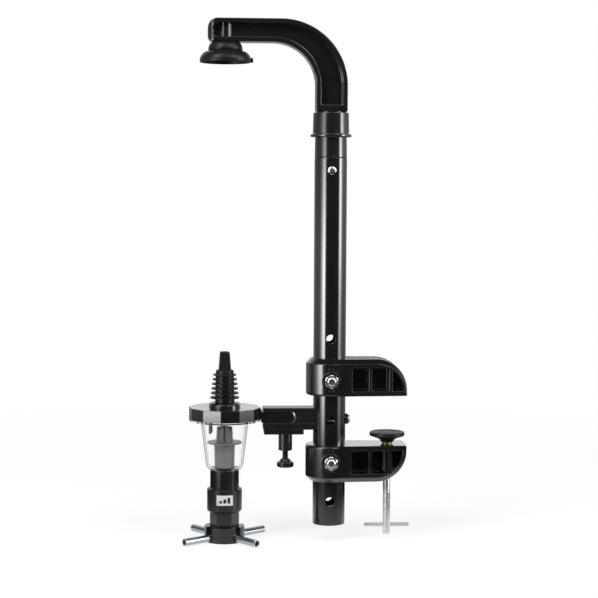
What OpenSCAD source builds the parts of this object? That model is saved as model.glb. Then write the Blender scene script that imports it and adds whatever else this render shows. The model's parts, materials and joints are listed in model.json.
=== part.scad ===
// Liquor optic dispenser: a clamp-on column with a sprung swan neck that holds an upturned
// bottle, and a measuring optic below it that pours when a glass lifts its four prongs.
// Millimetres, +Z up. The origin is on the flat clamp face of the upper jaw, straight above
// the clamp screw. +X runs from the column to the jaw tips, and the optic is on the -X side.

/* [Column] */
// Outer diameter of the column tube
column_d = 31.8; // [30:0.1:34]
// Wall of the column tube
column_wall = 1.5; // [1:0.1:2]
// Length of the column tube
column_length = 360.6; // [320:0.1:420]
// Diameter of the cross holes that take the jaw bolts
cross_hole_d = 9; // [8.6:0.1:10]
// Spacing of the cross holes
hole_pitch = 40; // [38:0.5:44]
// Number of cross holes
hole_count = 5; // [5:1:6]
// Height of the lowest cross hole above the foot of the tube
hole_first = 23.9; // [18:0.1:30]

/* [Column bush] */
// Diameter of the collar at its mouth
collar_top_d = 34.6; // [33:0.1:37]
// Diameter of the collar above its flange
collar_base_d = 35.6; // [34:0.1:38]
// Height of the collar above its flange
collar_h = 20.9; // [17:0.1:26]
// Diameter of the flange
flange_d = 40; // [38:0.5:44]
// Thickness of the flange
flange_t = 2.9; // [2:0.1:4]
// Diameter of the bush right under the flange
bush_neck_d = 31; // [29.5:0.1:33]
// Height of the bush between the tube and the flange
bush_neck_h = 20; // [16:0.5:26]
// Length of the spigot inside the tube
spigot_l = 25; // [20:0.5:30]
// Clearance between the spigot and the tube's bore, on the radius
spigot_gap = 0.1; // [0.05:0.05:0.2]
// Bore of the collar that takes the neck's plug
socket_d = 28; // [27:0.1:29]
// Depth of that bore
socket_depth = 14; // [11:0.5:17]
// Height of the bush screw below the top of the tube
bush_screw_drop = 12.7; // [10:0.1:15]
// Shank diameter of the bush screw
bush_screw_d = 4; // [3.5:0.1:4.5]
// Shank length of the bush screw
bush_screw_l = 5.5; // [4:0.1:5.6]
// Head diameter of the bush screw
bush_head_d = 8.5; // [7.5:0.1:9.5]
// Head height of the bush screw
bush_head_h = 2.4; // [2:0.1:3]

/* [Swan neck] */
// Distance from the column's axis to the axes of the cup and the optic
optic_offset = 103; // [98:0.5:115]
// Height from the collar to the centre of the outer bend
neck_rise = 25.1; // [20:0.1:50]
// Radius of the outer bend
bend_outer_r = 64.5; // [62:0.1:68]
// Radius of the inner bend
bend_inner_r = 41.6; // [38:0.1:45]
// Width of the upright leg
leg_w = 30.7; // [29.5:0.1:32]
// Distance from the column's axis to the outer side of the leg
leg_reach = 15.5; // [15:0.1:16]
// Height of the level beam
beam_h = 22.5; // [20:0.1:25]
// Depth of the moulding from front to back
neck_depth = 22; // [20:0.5:24]
// Distance from the cup's axis to the end of the beam
beam_end = 17.3; // [16:0.1:20]
// Radius of the beam's upper end corner
end_top_r = 9.5; // [7:0.1:11]
// Radius of the beam's lower end corner
end_low_r = 5.5; // [4:0.1:7]
// Radius of the beam's end corners seen from above
end_plan_r = 8; // [5:0.5:10]
// Width of the rim round the sunken panel
neck_rim = 4.6; // [3.5:0.1:6]
// Thickness of the web between the two panels
neck_web = 6; // [5:0.5:9]
// Height of the solid foot under the panel
foot_h = 7; // [6:0.5:10]
// Diameter of the upright boss that holds the cup stud
cup_boss_d = 12.4; // [11:0.1:14]
// Diameter of the plug that sits in the collar
plug_d = 27.4; // [26:0.1:28.4]
// Length of that plug
plug_l = 12; // [9:0.5:14]

/* [Stem and spring] */
// Depth of the stem in the plug and foot of the neck
stem_grip = 18; // [15:0.5:18]
// Outer diameter of the sliding stem
stem_d = 19; // [17:0.1:20]
// Wall of the stem
stem_wall = 2; // [1.5:0.1:2.5]
// Length of the stem below the plug
stem_l = 164; // [150:1:175]
// Running clearance of the stem in the bush, on the radius
stem_gap = 0.05; // [0.02:0.01:0.09]
// Diameter of the cross pin at the foot of the stem
stem_pin_d = 4; // [3:0.1:5]
// Length of the cross pin
stem_pin_l = 25; // [23:0.5:26]
// Height of the cross pin above the stem's foot
stem_pin_rise = 6; // [5:0.5:9]
// Outer diameter of the washer under the spring
spring_seat_d = 27.6; // [27:0.1:28]
// Thickness of that washer
spring_seat_t = 3; // [2:0.1:4]
// Clearance of that washer on the stem, on the radius
spring_seat_gap = 0.3; // [0.2:0.05:0.5]
// Wire diameter of the column spring
arm_wire_d = 1.8; // [1.4:0.1:2]
// Mean diameter of the column spring
arm_coil_d = 23.6; // [23:0.1:24.6]
// Turns of the column spring
arm_turns = 10; // [8:1:12]

/* [Bottle cup] */
// Diameter of the cup's lip
cup_d = 48.5; // [44:0.5:54]
// Height of the lower bell
bell_h = 11.1; // [9:0.1:14]
// Diameter of the upper dome
dome_d = 33.4; // [31:0.1:36]
// Height of the upper dome
dome_h = 8.5; // [7:0.1:10]
// Diameter of the dome where it meets the beam
dome_top_d = 24.8; // [22:0.1:27]
// Wall of the bell at its lip
cup_wall = 2.6; // [2:0.1:3.5]
// Thickness of the bell's roof round the stud
cup_roof = 3.2; // [2.8:0.1:3.6]
// Diameter of the stud that the cup turns on
stud_d = 6; // [5:0.5:7]
// Running clearance of the cup on its stud, on the radius
stud_gap = 0.05; // [0.02:0.01:0.09]
// Depth of the stud in the beam
stud_grip = 10; // [8:0.5:12]
// Width across flats of the stud's nut
stud_nut_af = 10; // [9:0.5:11]
// Height of the stud's nut
stud_nut_h = 4; // [3:0.1:4.4]
// Reach of the small tab beyond the lip
tab_reach = 3.2; // [2:0.1:4]
// Height of the small tab
tab_h = 4.8; // [3:0.1:6]
// Width of the small tab
tab_w = 3; // [2:0.1:4]

/* [Jaws] */
// Diameter of the ring round the column
ring_d = 46.4; // [44:0.1:49]
// Height of a jaw
jaw_h = 36; // [34:0.5:40]
// Reach of the jaw's tip from the column's axis
jaw_reach = 75; // [72:0.5:82]
// Distance from the jaw's tip back to the clamp screw's axis
screw_inset = 17.5; // [15:0.5:19]
// Width of the jaw at its tip
jaw_tip_w = 36; // [32:0.5:40]
// Distance from the ring's side in to the arm's side, at the column's axis
jaw_root_inset = 1; // [0.7:0.1:2]
// Height of the tip's straight part
tip_flat = 6; // [4:0.5:8]
// Bevel along the ring's and the arm's upper edge
jaw_bevel = 4.7; // [3.5:0.1:5.2]
// Bevel at the tip, which the upper edge's bevel narrows to
tip_bevel = 1.4; // [1:0.1:3]
// Height of the bolt above the clamp face
jaw_bolt_rise = 15.5; // [14:0.1:17]
// Clearance between ring and column, on the radius
ring_gap = 0.1; // [0.05:0.05:0.2]
// Diameter of the round boss at each end of the bolt
bolt_boss_d = 18.6; // [17:0.1:20]
// Distance from the bolt boss's rim to the jaw's middle plane
bolt_boss_reach = 24.8; // [24.2:0.1:26]
// Diameter of the spotface inside the boss
spotface_d = 16.4; // [15.5:0.1:16.6]
// Depth of the spotface
spotface_depth = 1.2; // [0.8:0.1:1.4]
// Thickness of the web between the side pockets
jaw_web = 6; // [4:0.5:10]
// Height of the pockets' lower edge above the clamp face
pocket_low = 4.8; // [4:0.1:6]
// Height of the pockets' upper edge above the clamp face
pocket_top = 27.6; // [25:0.1:29]
// Start of the first pocket from the column's axis
pocket_start = 21.7; // [21:0.1:24]
// Thickness of the ribs between the pockets
pocket_rib = 3.6; // [2.5:0.1:4.5]
// Width of the two inner pockets
pocket_w = 15.9; // [13:0.1:16.4]
// Rim between the tip's end and the last pocket
tip_rim = 3.6; // [3.2:0.1:5]
// Drop of the last pocket's round below the tip's round
tip_rim_drop = 2; // [1:0.1:3]
// Corner radius of the pockets
pocket_r = 1.5; // [0.8:0.1:2.5]

/* [Jaw bolts] */
// Bolt diameter
bolt_d = 8; // [7:0.5:8.4]
// Width across flats of heads and nuts
bolt_af = 13; // [11:0.5:13.5]
// Height of a bolt head
bolt_head_h = 5.3; // [4:0.1:6]
// Height of a nut
nut_h = 6.5; // [5:0.1:7.5]
// Length of bolt that shows beyond the nut
bolt_show = 1.2; // [0.5:0.1:3]

/* [Clamp screw] */
// Thread diameter of the clamp screw
screw_d = 8; // [7:0.1:8.6]
// Running clearance of the screw in its nut, on the radius
screw_gap = 0.05; // [0.02:0.01:0.09]
// Length of the thread
thread_l = 53.1; // [50:0.1:58]
// Diameter of the plain shank
shank_d = 7.1; // [6.5:0.1:7.6]
// Length of the plain shank
shank_l = 37.4; // [34:0.1:42]
// Diameter of the tee bar
tee_d = 3.9; // [3:0.1:4.5]
// Length of the tee bar
tee_l = 45; // [40:0.5:50]
// Height of the tee bar above the screw's foot
tee_rise = 9; // [7:0.1:12]
// Radius of the boss in the lower jaw round the screw
screw_boss_r = 8.6; // [8:0.1:9.5]
// Height of the nut set in the lower jaw
clamp_nut_h = 6.5; // [5:0.1:8]

/* [Clamp pad] */
// Diameter of the pad
pad_d = 34.6; // [30:0.1:36]
// Height of the pad's rim
pad_rim = 2.6; // [2:0.1:4]
// Height of the whole pad
pad_h = 8.6; // [8:0.1:10]
// Diameter of the pad at its foot
pad_foot_d = 11.4; // [11:0.1:13]
// Diameter of the ferrule
ferrule_d = 10.4; // [9.6:0.1:10.8]
// Height of the ferrule below the pad
ferrule_h = 2.9; // [2:0.1:4]
// Depth of the ferrule's spigot in the pad
ferrule_grip = 3.3; // [2.5:0.1:3.8]
// Wall of the ferrule's spigot
ferrule_wall = 0.9; // [0.7:0.1:1.1]
// Diameter of the screw's tip in the ferrule
screw_tip_d = 5; // [4:0.1:5.4]
// Gap between the ferrule and the lower jaw at rest
pad_rest_gap = 0.1; // [0.05:0.05:0.3]
// Depth of the rings in the pad's top
pad_ring_depth = 0.5; // [0.3:0.1:0.8]

/* [Bracket] */
// Depth of the bracket from front to back
bracket_depth = 21; // [19:0.5:23]
// Distance from the column's axis to the bracket's end
bracket_reach = 65.5; // [63:0.1:66]
// Distance from the clamp face down to the bracket's top
bracket_drop = 12.6; // [11:0.1:13]
// Height of the bracket
bracket_h = 21.4; // [21:0.1:24]
// Step between the bracket's upper and lower sides
bracket_step = 0.5; // [0.3:0.1:1]
// Height of the fork's slot
slot_h = 10.9; // [10:0.1:12]
// Height of the fork's lower prong
fork_low = 6.9; // [6.5:0.1:8]
// Distance from the column's axis to the slot's closed end
slot_end = 33.3; // [32:0.1:35]
// Width of the guide groove in the slot's roof
groove_w = 4; // [3:0.1:6]
// Depth of the guide groove
groove_depth = 1.8; // [1.2:0.1:2]
// Diameter of the bracket bolt
bracket_bolt_d = 6; // [5:0.5:6.5]
// Grip of the bracket bolt beyond the column's far wall
bracket_bolt_grip = 10; // [8:0.5:12]
// Diameter of the bracket bolt's domed head
bracket_head_d = 8.6; // [8:0.1:10]
// Height of the bracket bolt's domed head
bracket_head_h = 2.2; // [1.6:0.1:3]
// Diameter of the saddle washer
saddle_d = 10.4; // [10:0.1:12]
// Thickness of the saddle washer
saddle_t = 2.4; // [2:0.1:3.5]
// Diameter of the threaded insert in the bracket
insert_d = 9; // [8:0.1:10]

/* [Thumb screw] */
// Distance from the column's axis to the thumb screw
thumb_offset = 43.2; // [43:0.1:48]
// Length of the plate under the bracket
plate_l = 38.9; // [34:0.1:42]
// Distance from the column's axis to the plate's near end
plate_start = 25.6; // [23:0.1:28]
// Thickness of the plate
plate_t = 4.9; // [4:0.1:6]
// Depth of the plate from front to back
plate_depth = 18; // [16:0.5:19]
// Diameter of the threaded boss
boss_d = 13.4; // [12:0.1:15]
// Height of the threaded boss under the plate
boss_h = 16.6; // [14:0.1:20]
// Thread diameter of the thumb screw
thumb_d = 6; // [5:0.1:6.4]
// Running clearance of the thumb screw, on the radius
thumb_gap = 0.05; // [0.02:0.01:0.09]
// Stem length that shows between boss and knob
thumb_show = 8.3; // [6:0.1:12]
// Height of the knob's flare
knob_flare = 3.2; // [2:0.1:4]
// Diameter of the knob
knob_d = 16.5; // [15:0.1:19]
// Height of the knob's rim
knob_h = 5.2; // [4:0.1:7]
// Diameter of the pressure shoe
shoe_d = 9.4; // [8.5:0.1:10]
// Thickness of the pressure shoe
shoe_t = 2.55; // [2.2:0.05:2.8]
// Clearance of the shoe in its bore, on the radius
shoe_gap = 0.3; // [0.2:0.05:0.4]

/* [Optic cap] */
// Diameter of the twelve-sided cap across its corners
cap_d = 70.6; // [68:0.1:71.6]
// Height of the cap
cap_h = 11.7; // [11:0.1:13]
// Distance from the bracket's top up to the cap's top
cap_lift = 0.2; // [0:0.1:1]
// Turn of the cap and prongs about the optic's axis
optic_turn = -7; // [-12:0.5:0]
// Thickness of the cap's top
cap_roof = 3.5; // [3:0.1:5]
// Diameter of the hollow inside the cap
cap_hollow_d = 50; // [49:0.1:52]
// Diameter of the inlet nozzle under the roof
nozzle_d = 12; // [11:0.1:13]
// Length of the inlet nozzle
nozzle_l = 4.7; // [4:0.1:4.8]
// Diameter of the inlet bore
inlet_bore = 5; // [4:0.1:5.6]
// Width of the tongue from front to back
tongue_w = 17; // [15:0.1:18]
// Clearance of the tongue above the slot's floor
tongue_gap = 0.1; // [0.05:0.05:0.15]
// Clearance of the tongue under the slot's roof
roof_gap = 0.2; // [0.1:0.05:0.3]
// Gap between the tongue's end and the slot's end at rest
tongue_end_gap = 1.5; // [1.2:0.1:2]
// Side clearance of the guide rib in its groove
rib_gap = 0.1; // [0.05:0.05:0.2]
// Distance of the air hole from the optic's axis
air_hole_r = 18.4; // [17.5:0.1:19]
// Diameter of the air hole
air_hole_d = 2.4; // [1.5:0.1:3]

/* [Bottle stopper] */
// Diameter of the seat under the stopper
seat_d = 31.2; // [29:0.1:33]
// Height of the seat
seat_h = 4.7; // [4:0.1:6]
// Diameter of the stopper's core at its top
core_top_d = 17.5; // [16:0.1:18.5]
// Diameter of the stopper's core at its foot
core_low_d = 19; // [18:0.1:20]
// Height of the stopper above its seat
stopper_h = 32.3; // [31.5:0.1:36]
// Number of sealing fins
fin_count = 6; // [4:1:6]
// Spacing of the fins
fin_pitch = 4.5; // [4:0.1:4.6]
// Diameter of the lowest fin
fin_low_d = 28.6; // [27:0.1:30]
// Diameter of the highest fin
fin_top_d = 22.6; // [21:0.1:25]
// Thickness of a fin at its edge
fin_edge = 1.1; // [0.8:0.1:1.6]
// Height of the lowest fin above the seat
fin_first = 4.6; // [4:0.1:5.5]
// Diameter of the rigid inlet tube inside the stopper
inlet_d = 8; // [7:0.1:9]
// Width of the spout at its foot
spout_low_w = 12.3; // [11:0.1:14]
// Width of the spout at its tip
spout_top_w = 9.7; // [8.5:0.1:10.5]
// Height of the spout
spout_h = 17.6; // [15:0.1:21]
// Depth of the spout from front to back at its foot
spout_depth = 10; // [9:0.1:12]

/* [Measuring chamber] */
// Outer diameter of the chamber under the cap
chamber_top_d = 47.1; // [45:0.1:48]
// Outer diameter of the chamber above its rounded foot
chamber_low_d = 37; // [35:0.1:40]
// Wall of the chamber
chamber_wall = 1.8; // [1.4:0.1:2]
// Height of the chamber below the cap
chamber_h = 50.1; // [48:0.1:54]
// Radius of the chamber's rounded foot
chamber_foot_r = 6.2; // [4:0.1:8]
// Thickness of the chamber's flange
chamber_flange = 1.9; // [1.5:0.1:2.5]
// Height of the chamber's rim inside the cap
chamber_rim = 6.7; // [5:0.1:6.7]
// Diameter of the grey tube at its top
guide_top_d = 15.2; // [15:0.1:16.5]
// Diameter of the grey tube above its disc
guide_mid_d = 17; // [16:0.1:18]
// Diameter of the grey tube under its disc
guide_low_d = 20.7; // [19:0.1:22]
// Diameter of the grey tube at its foot
guide_foot_d = 19.5; // [18:0.1:21]
// Bore of the grey tube
guide_bore = 12.6; // [12.4:0.1:13]
// Height of the grey tube
guide_h = 40.5; // [39:0.1:42]
// Height of the disc above the tube's foot
disc_rise = 24.2; // [20:0.1:28]
// Diameter of the disc
disc_d = 34; // [30:0.1:35]
// Thickness of the disc
disc_t = 1.5; // [1:0.1:2]
// Outer diameter of the vent tube
vent_d = 3.8; // [3:0.1:4.4]
// Bore of the vent tube
vent_bore = 2; // [1.2:0.1:2.4]
// Distance of the vent tube from the optic's axis
vent_r = 13.8; // [13:0.1:15]
// Distance from the cap's foot down to the vent tube's tip
vent_drop = 14.9; // [10:0.1:17]

/* [Valve] */
// Diameter of the valve body's neck
valve_neck_d = 28.2; // [27:0.1:29]
// Length of the neck that shows above the sleeve
valve_neck_show = 17.8; // [15:0.1:22]
// Outer diameter of the sleeve
sleeve_d = 34.3; // [33.6:0.1:36]
// Length of the sleeve
sleeve_l = 23.7; // [22:0.1:27]
// Bevel at the sleeve's ends
sleeve_bevel = 1.6; // [1:0.1:2]
// Clearance of the sleeve on the neck, on the radius
sleeve_gap = 0.1; // [0.05:0.05:0.2]
// Length of the neck inside the sleeve
valve_neck_hidden = 8; // [6:0.1:8]
// Bore of the sleeve round the hexagon
sleeve_bore = 30; // [29.6:0.1:30.8]
// Height of the valve body's collar inside the grey tube
valve_collar_h = 8.2; // [7:0.1:9]
// Diameter of the valve body's collar
valve_collar_d = 12.2; // [11.6:0.1:12.3]
// Diameter of the plunger's stem
plunger_d = 8; // [7:0.1:8.4]
// Running clearance of the plunger's stem, on the radius
plunger_gap = 0.05; // [0.02:0.01:0.09]
// Bore of the plunger
plunger_bore = 4.5; // [3.5:0.1:5]
// Hexagon size across its corners
hex_d = 28.9; // [27:0.1:29]
// Turn of the hexagon about the optic's axis
hex_turn = -2.6; // [-10:0.1:10]
// Length of the hexagon that shows under the sleeve
hex_show = 14.3; // [13:0.1:17]
// Length of the hexagon inside the sleeve
hex_hidden = 1.7; // [1:0.1:2.5]
// Wire diameter of the valve spring
valve_wire_d = 1.2; // [0.9:0.1:1.3]
// Mean diameter of the valve spring
valve_coil_d = 14; // [13.5:0.1:14.5]
// Turns of the valve spring
valve_turns = 7; // [5:1:8]
// Diameter of the spring's pocket in the valve body
spring_pocket_d = 17; // [16.6:0.1:18]
// Depth of the spring's pocket
spring_pocket = 16; // [14:0.5:18]
// Diameter of the rubber seal on the plunger
seal_d = 10.4; // [9.6:0.1:11]
// Thickness of that seal
seal_t = 2; // [1.5:0.1:3]
// Stroke of the plunger
stroke = 11; // [9:0.5:11]
// Width of the label on the sleeve
label_w = 16.5; // [12:0.1:20]
// Height of the label
label_h = 10; // [8:0.1:12]
// Thickness of the label
label_t = 0.25; // [0.2:0.05:0.4]
// Distance from the sleeve's top down to the label
label_drop = 5.5; // [4:0.1:7]

/* [Prongs] */
// Diameter of the hub
hub_d = 39.5; // [38:0.1:42]
// Height of the hub
hub_h = 15.2; // [14:0.1:17]
// Diameter of a prong
prong_d = 7.3; // [6.5:0.1:8]
// Distance from the optic's axis to a prong's tip
prong_reach = 50; // [45:0.5:55]
// Height of the prongs above the hub's foot
prong_rise = 4.9; // [4.6:0.1:6]
// Bore in the end of a prong
prong_bore = 4.8; // [4:0.1:5.4]
// Depth of that bore
prong_bore_l = 8; // [5:0.5:10]
// Depth of the plug below the prong's tip
prong_plug_sink = 1.2; // [0.5:0.1:2]
// Depth of the hub's notches round the prongs
notch_depth = 4.6; // [3:0.1:5]
// Gap round each prong in its notch
notch_gap = 0.8; // [0.6:0.1:2]
// Diameter of the plunger's spigot in the hub
hub_spigot_d = 14; // [12:0.1:16]

/* [Hidden] */
$fn = 64;

// How far a cut runs past the face that it opens
over = 1;
// Clearance of parts that are fixed together, on the radius
fixed_gap = 0.1;
// Gap of faces that slide on each other
slide_gap = 0.1;
// Clearance of the clamp screw in the lower jaw, on the radius
screw_hole_gap = 0.5;
// Pegs that fix the screw plate to the bracket
peg_d = 4;
peg_l = 3;
// Depth of the stopper's foot in its seat
stopper_foot = 2;
// Depth of the vent tube in the cap's roof
vent_grip = 1.5;
// Distance from the collar's top down to the plunger's side ports
port_drop = 4.5;
// Diameter of the side ports
port_d = 2.6;

// Colours
gloss_black = "#141416";
soft_black = "#1c1c1e";
rubber_black = "#242426";
zinc = "#c9cccf";
chrome = "#b9bec6";
yellow_zinc = "#b8a25a";
grey_plastic = "#8b8d92";
clear = "#e8eef080";
white_label = "#f2f2f0";

// Heights, upwards from the clamp face
upper_hole = 3;
middle_hole = 2;
lower_hole = 1;
column_foot = jaw_bolt_rise - hole_first - upper_hole*hole_pitch;
column_top = column_foot + column_length;
function hole_z(i) = column_foot + hole_first + i*hole_pitch;
bush_flange_z = column_top + bush_neck_h;
collar_z = bush_flange_z + flange_t;
collar_top = collar_z + collar_h;
bend_z = collar_top + neck_rise;
beam_top = bend_z + bend_outer_r;
beam_low = beam_top - beam_h;
lower_face = hole_z(lower_hole) + jaw_bolt_rise;
bracket_top = -bracket_drop;
bracket_low = bracket_top - bracket_h;
slot_floor = bracket_low + fork_low;
slot_roof = slot_floor + slot_h;
plate_low = bracket_low - plate_t;
boss_low = plate_low - boss_h;
cap_top = bracket_top + cap_lift;
cap_low = cap_top - cap_h;
cap_ceiling = cap_top - cap_roof;
chamber_low = cap_low - chamber_h;
chamber_floor = chamber_low + chamber_wall;
sleeve_top = chamber_low - valve_neck_show;
sleeve_low = sleeve_top - sleeve_l;
valve_low = sleeve_top - valve_neck_hidden;
hub_top = sleeve_low - hex_show;
hub_low = hub_top - hub_h;
hex_top = sleeve_low + hex_hidden;

// Other derived values
column_offset = jaw_reach - screw_inset;
column_bore = column_d - 2*column_wall;
spigot_d = column_bore - 2*spigot_gap;
stem_bore = stem_d + 2*stem_gap;
stem_foot = collar_top - plug_l - stem_l;
stem_head = collar_top - plug_l + stem_grip;
pin_z = stem_foot + stem_pin_rise;
spring_seat_z = pin_z + stem_pin_d/2 + slide_gap/2;
spigot_foot = column_top - spigot_l;
ring_bore = column_d + 2*ring_gap;
seat_face = bolt_boss_reach - spotface_depth;
ferrule_low = lower_face + pad_rest_gap;
pad_low = ferrule_low + ferrule_h;
screw_foot = ferrule_low - thread_l - shank_l;
tip_bore = screw_tip_d + 2*screw_gap;
ferrule_spigot_d = tip_bore + 2*ferrule_wall;
dome_low = beam_low - slide_gap - dome_h;
cup_low = dome_low - bell_h;
cup_ceiling = dome_low - cup_roof;
stud_foot = cup_ceiling - stud_nut_h - slide_gap;
tongue_low = slot_floor + tongue_gap;
tongue_top = slot_roof - roof_gap;
tongue_h = tongue_top - tongue_low;
tongue_end = optic_offset - slot_end - tongue_end_gap;
fork_mouth = optic_offset - bracket_reach;
shoe_top = (slot_floor + tongue_low)/2;
shoe_low = shoe_top - shoe_t;
knob_top = boss_low - thumb_show;
thumb_tip_d = thumb_d/2;
thumb_tip_l = shoe_t/2;
label_z = sleeve_top - label_drop - label_h;
seal_top = cap_ceiling - nozzle_l - stroke - slide_gap;
port_z = chamber_low + valve_collar_h - port_drop;
prong_z = hub_low + prong_rise;
prong_start = hub_spigot_d/2 + 1;
plate_pegs = [plate_start + peg_d, plate_start + plate_l - 1.5*peg_d];

// ---------------------------------------------------------------- helpers

module at_column() translate([-column_offset, 0, 0]) children();
module at_optic() translate([-column_offset - optic_offset, 0, 0]) children();
module at_height(z) translate([0, 0, z]) children();
// Turns a shape's own z axis to +X, or to +Y
module toward_x() rotate([0, 90, 0]) children();
module toward_y() rotate([-90, 0, 0]) children();
// Extrudes a flat shape drawn as (x, z) along Y, centred on the middle plane
module side_extrude(depth)
    translate([0, depth/2, 0]) rotate([90, 0, 0]) linear_extrude(depth) children();
module tube(d, bore, h) difference() {
    cylinder(d = d, h = h);
    at_height(-over) cylinder(d = bore, h = h + 2*over);
}
module hexagon(flats, h) cylinder(d = flats/cos(30), h = h, $fn = 6);
// Points of an arc, from angle a to angle b
function arc(x, y, r, a, b, steps) =
    [for (i = [0:steps]) let (t = a + (b - a)*i/steps) [x + r*cos(t), y + r*sin(t)]];
// A flat box with round corners, made of straight strips and discs
module round_box(x0, y0, x1, y1, r) {
    translate([x0 + r, y0]) square([x1 - x0 - 2*r, y1 - y0]);
    translate([x0, y0 + r]) square([x1 - x0, y1 - y0 - 2*r]);
    for (x = [x0 + r, x1 - r], y = [y0 + r, y1 - r]) translate([x, y]) circle(r = r, $fn = 32);
}
// A flat box from one corner to the other
module box2(x0, y0, x1, y1) translate([x0, y0]) square([x1 - x0, y1 - y0]);
module box3(x0, y0, z0, x1, y1, z1)
    translate([x0, y0, z0]) cube([x1 - x0, y1 - y0, z1 - z0]);
// A domed screw head that stands on z = 0
module dome_head(d, h) rotate_extrude() polygon(concat([[0, 0], [d/2, 0]],
    [for (i = [1:6]) let (t = 15*i) [d/2*cos(t), h*(0.35 + 0.65*sin(t))]]));

// A wire wound into an unbroken helix that stands on z = 0
module coil_spring(coil_d, wire_d, length, turns) {
    sides = 6;
    steps = 14;
    rings = turns*steps;
    climb = length - wire_d;
    points = [for (i = [0:rings], k = [0:sides - 1])
        let (a = 360*i/steps, b = 360*k/sides, r = coil_d/2 + wire_d/2*cos(b))
        [r*cos(a), r*sin(a), wire_d/2*(1 + sin(b)) + climb*i/rings]];
    walls = [for (i = [0:rings - 1], k = [0:sides - 1])
        let (p = i*sides + k, q = i*sides + (k + 1)%sides)
        each [[p, q, p + sides], [q, q + sides, p + sides]]];
    first_end = [for (k = [0:sides - 1]) sides - 1 - k];
    last_end = [for (k = [0:sides - 1]) rings*sides + k];
    echo(least_gap = climb/turns - wire_d);
    polyhedron(points = points, faces = concat([first_end, last_end], walls), convexity = 4);
}

// ---------------------------------------------------------------- column

module column_tube() color(gloss_black) at_column() difference() {
    at_height(column_foot) tube(column_d, column_bore, column_length);
    for (i = [0:hole_count - 1]) at_height(hole_z(i))
        toward_y() cylinder(d = cross_hole_d, h = 2*column_d, center = true);
    at_height(hole_z(middle_hole))
        toward_x() cylinder(d = bracket_bolt_d + 2*fixed_gap, h = 2*column_d, center = true);
    at_height(column_top - bush_screw_drop) rotate([90, 0, 0])
        cylinder(d = bush_screw_d + 2*fixed_gap, h = column_d);
}

module column_bush() color(gloss_black) at_column() difference() {
    rotate_extrude() polygon([
        [stem_bore/2, spigot_foot], [spigot_d/2 - 1, spigot_foot],
        [spigot_d/2, spigot_foot + 1], [spigot_d/2, column_top], [column_d/2, column_top],
        [bush_neck_d/2, bush_flange_z], [flange_d/2, bush_flange_z],
        [flange_d/2, collar_z], [collar_base_d/2, collar_z], [collar_top_d/2, collar_top],
        [socket_d/2, collar_top], [socket_d/2, collar_top - socket_depth],
        [stem_bore/2, collar_top - socket_depth]]);
    at_height(column_top - bush_screw_drop) rotate([90, 0, 0])
        cylinder(d = bush_screw_d, h = column_d);
}

module bush_screw() color(zinc) at_column() at_height(column_top - bush_screw_drop)
    translate([0, -column_d/2, 0]) rotate([90, 0, 0]) {
        dome_head(bush_head_d, bush_head_h);
        at_height(-bush_screw_l) cylinder(d = bush_screw_d, h = bush_screw_l);
    }

module arm_spring() color(zinc) at_column() at_height(spring_seat_z + spring_seat_t)
    coil_spring(arm_coil_d, arm_wire_d,
        spigot_foot - spring_seat_z - spring_seat_t, arm_turns);

module spring_seat() color(zinc) at_column() at_height(spring_seat_z)
    tube(spring_seat_d, stem_d + 2*spring_seat_gap, spring_seat_t);

// ---------------------------------------------------------------- swan neck

// The side view of the moulding, drawn in by inset all round and lifted to start at foot
module neck_outline(inset, foot) {
    outer_r = bend_outer_r - inset;
    inner_r = bend_inner_r + inset;
    x_out = leg_reach - bend_outer_r;
    x_in = leg_reach - leg_w - bend_inner_r;
    z_in = beam_low - bend_inner_r;
    x_end = -optic_offset - beam_end + inset;
    top_r = end_top_r - inset/2;
    low_r = end_low_r - inset/2;
    difference() {
        union() {
            box2(x_in, foot, leg_reach - inset, bend_z);
            box2(x_end, z_in, x_out, beam_top - inset);
            intersection() {
                translate([x_out, bend_z]) circle(r = outer_r, $fn = 128);
                box2(x_out, bend_z, leg_reach, beam_top);
            }
        }
        box2(x_in - over, foot - over, leg_reach - leg_w + inset, z_in);
        box2(x_end - over, z_in - over, x_in, beam_low + inset);
        translate([x_in, z_in]) circle(r = inner_r, $fn = 128);
        difference() {
            box2(x_end - over, beam_top - inset - top_r, x_end + top_r, beam_top);
            translate([x_end + top_r, beam_top - inset - top_r]) circle(r = top_r);
        }
        difference() {
            box2(x_end - over, beam_low, x_end + low_r, beam_low + inset + low_r);
            translate([x_end + low_r, beam_low + inset + low_r]) circle(r = low_r);
        }
    }
}

module swan_neck() color(gloss_black) at_column() difference() {
    union() {
        intersection() {
            difference() {
                side_extrude(neck_depth) neck_outline(0, collar_top);
                for (s = [-1, 1]) translate([0, s*(neck_depth + neck_web)/2, 0])
                    side_extrude(neck_depth) neck_outline(neck_rim, collar_top + foot_h);
            }
            at_height(collar_top) linear_extrude(beam_top) {
                x_end = -optic_offset - beam_end;
                box2(x_end + end_plan_r, -neck_depth, column_d, neck_depth);
                box2(x_end, -neck_depth/2 + end_plan_r, 0, neck_depth/2 - end_plan_r);
                for (s = [-1, 1]) translate([x_end + end_plan_r, s*(neck_depth/2 - end_plan_r)])
                    circle(r = end_plan_r);
            }
        }
        translate([-optic_offset, 0, beam_low + neck_rim - over])
            cylinder(d = cup_boss_d, h = beam_h - 2*neck_rim + 2*over);
        at_height(collar_top - plug_l) cylinder(d = plug_d, h = plug_l + over);
    }
    at_height(collar_top - plug_l - over) cylinder(d = stem_d, h = stem_grip + over);
    translate([-optic_offset, 0, beam_low - over]) cylinder(d = stud_d, h = stud_grip + over);
}

module arm_stem() color(zinc) at_column() difference() {
    at_height(stem_foot) tube(stem_d, stem_d - 2*stem_wall, stem_head - stem_foot);
    at_height(pin_z) toward_x() cylinder(d = stem_pin_d, h = 2*stem_d, center = true);
}

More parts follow.
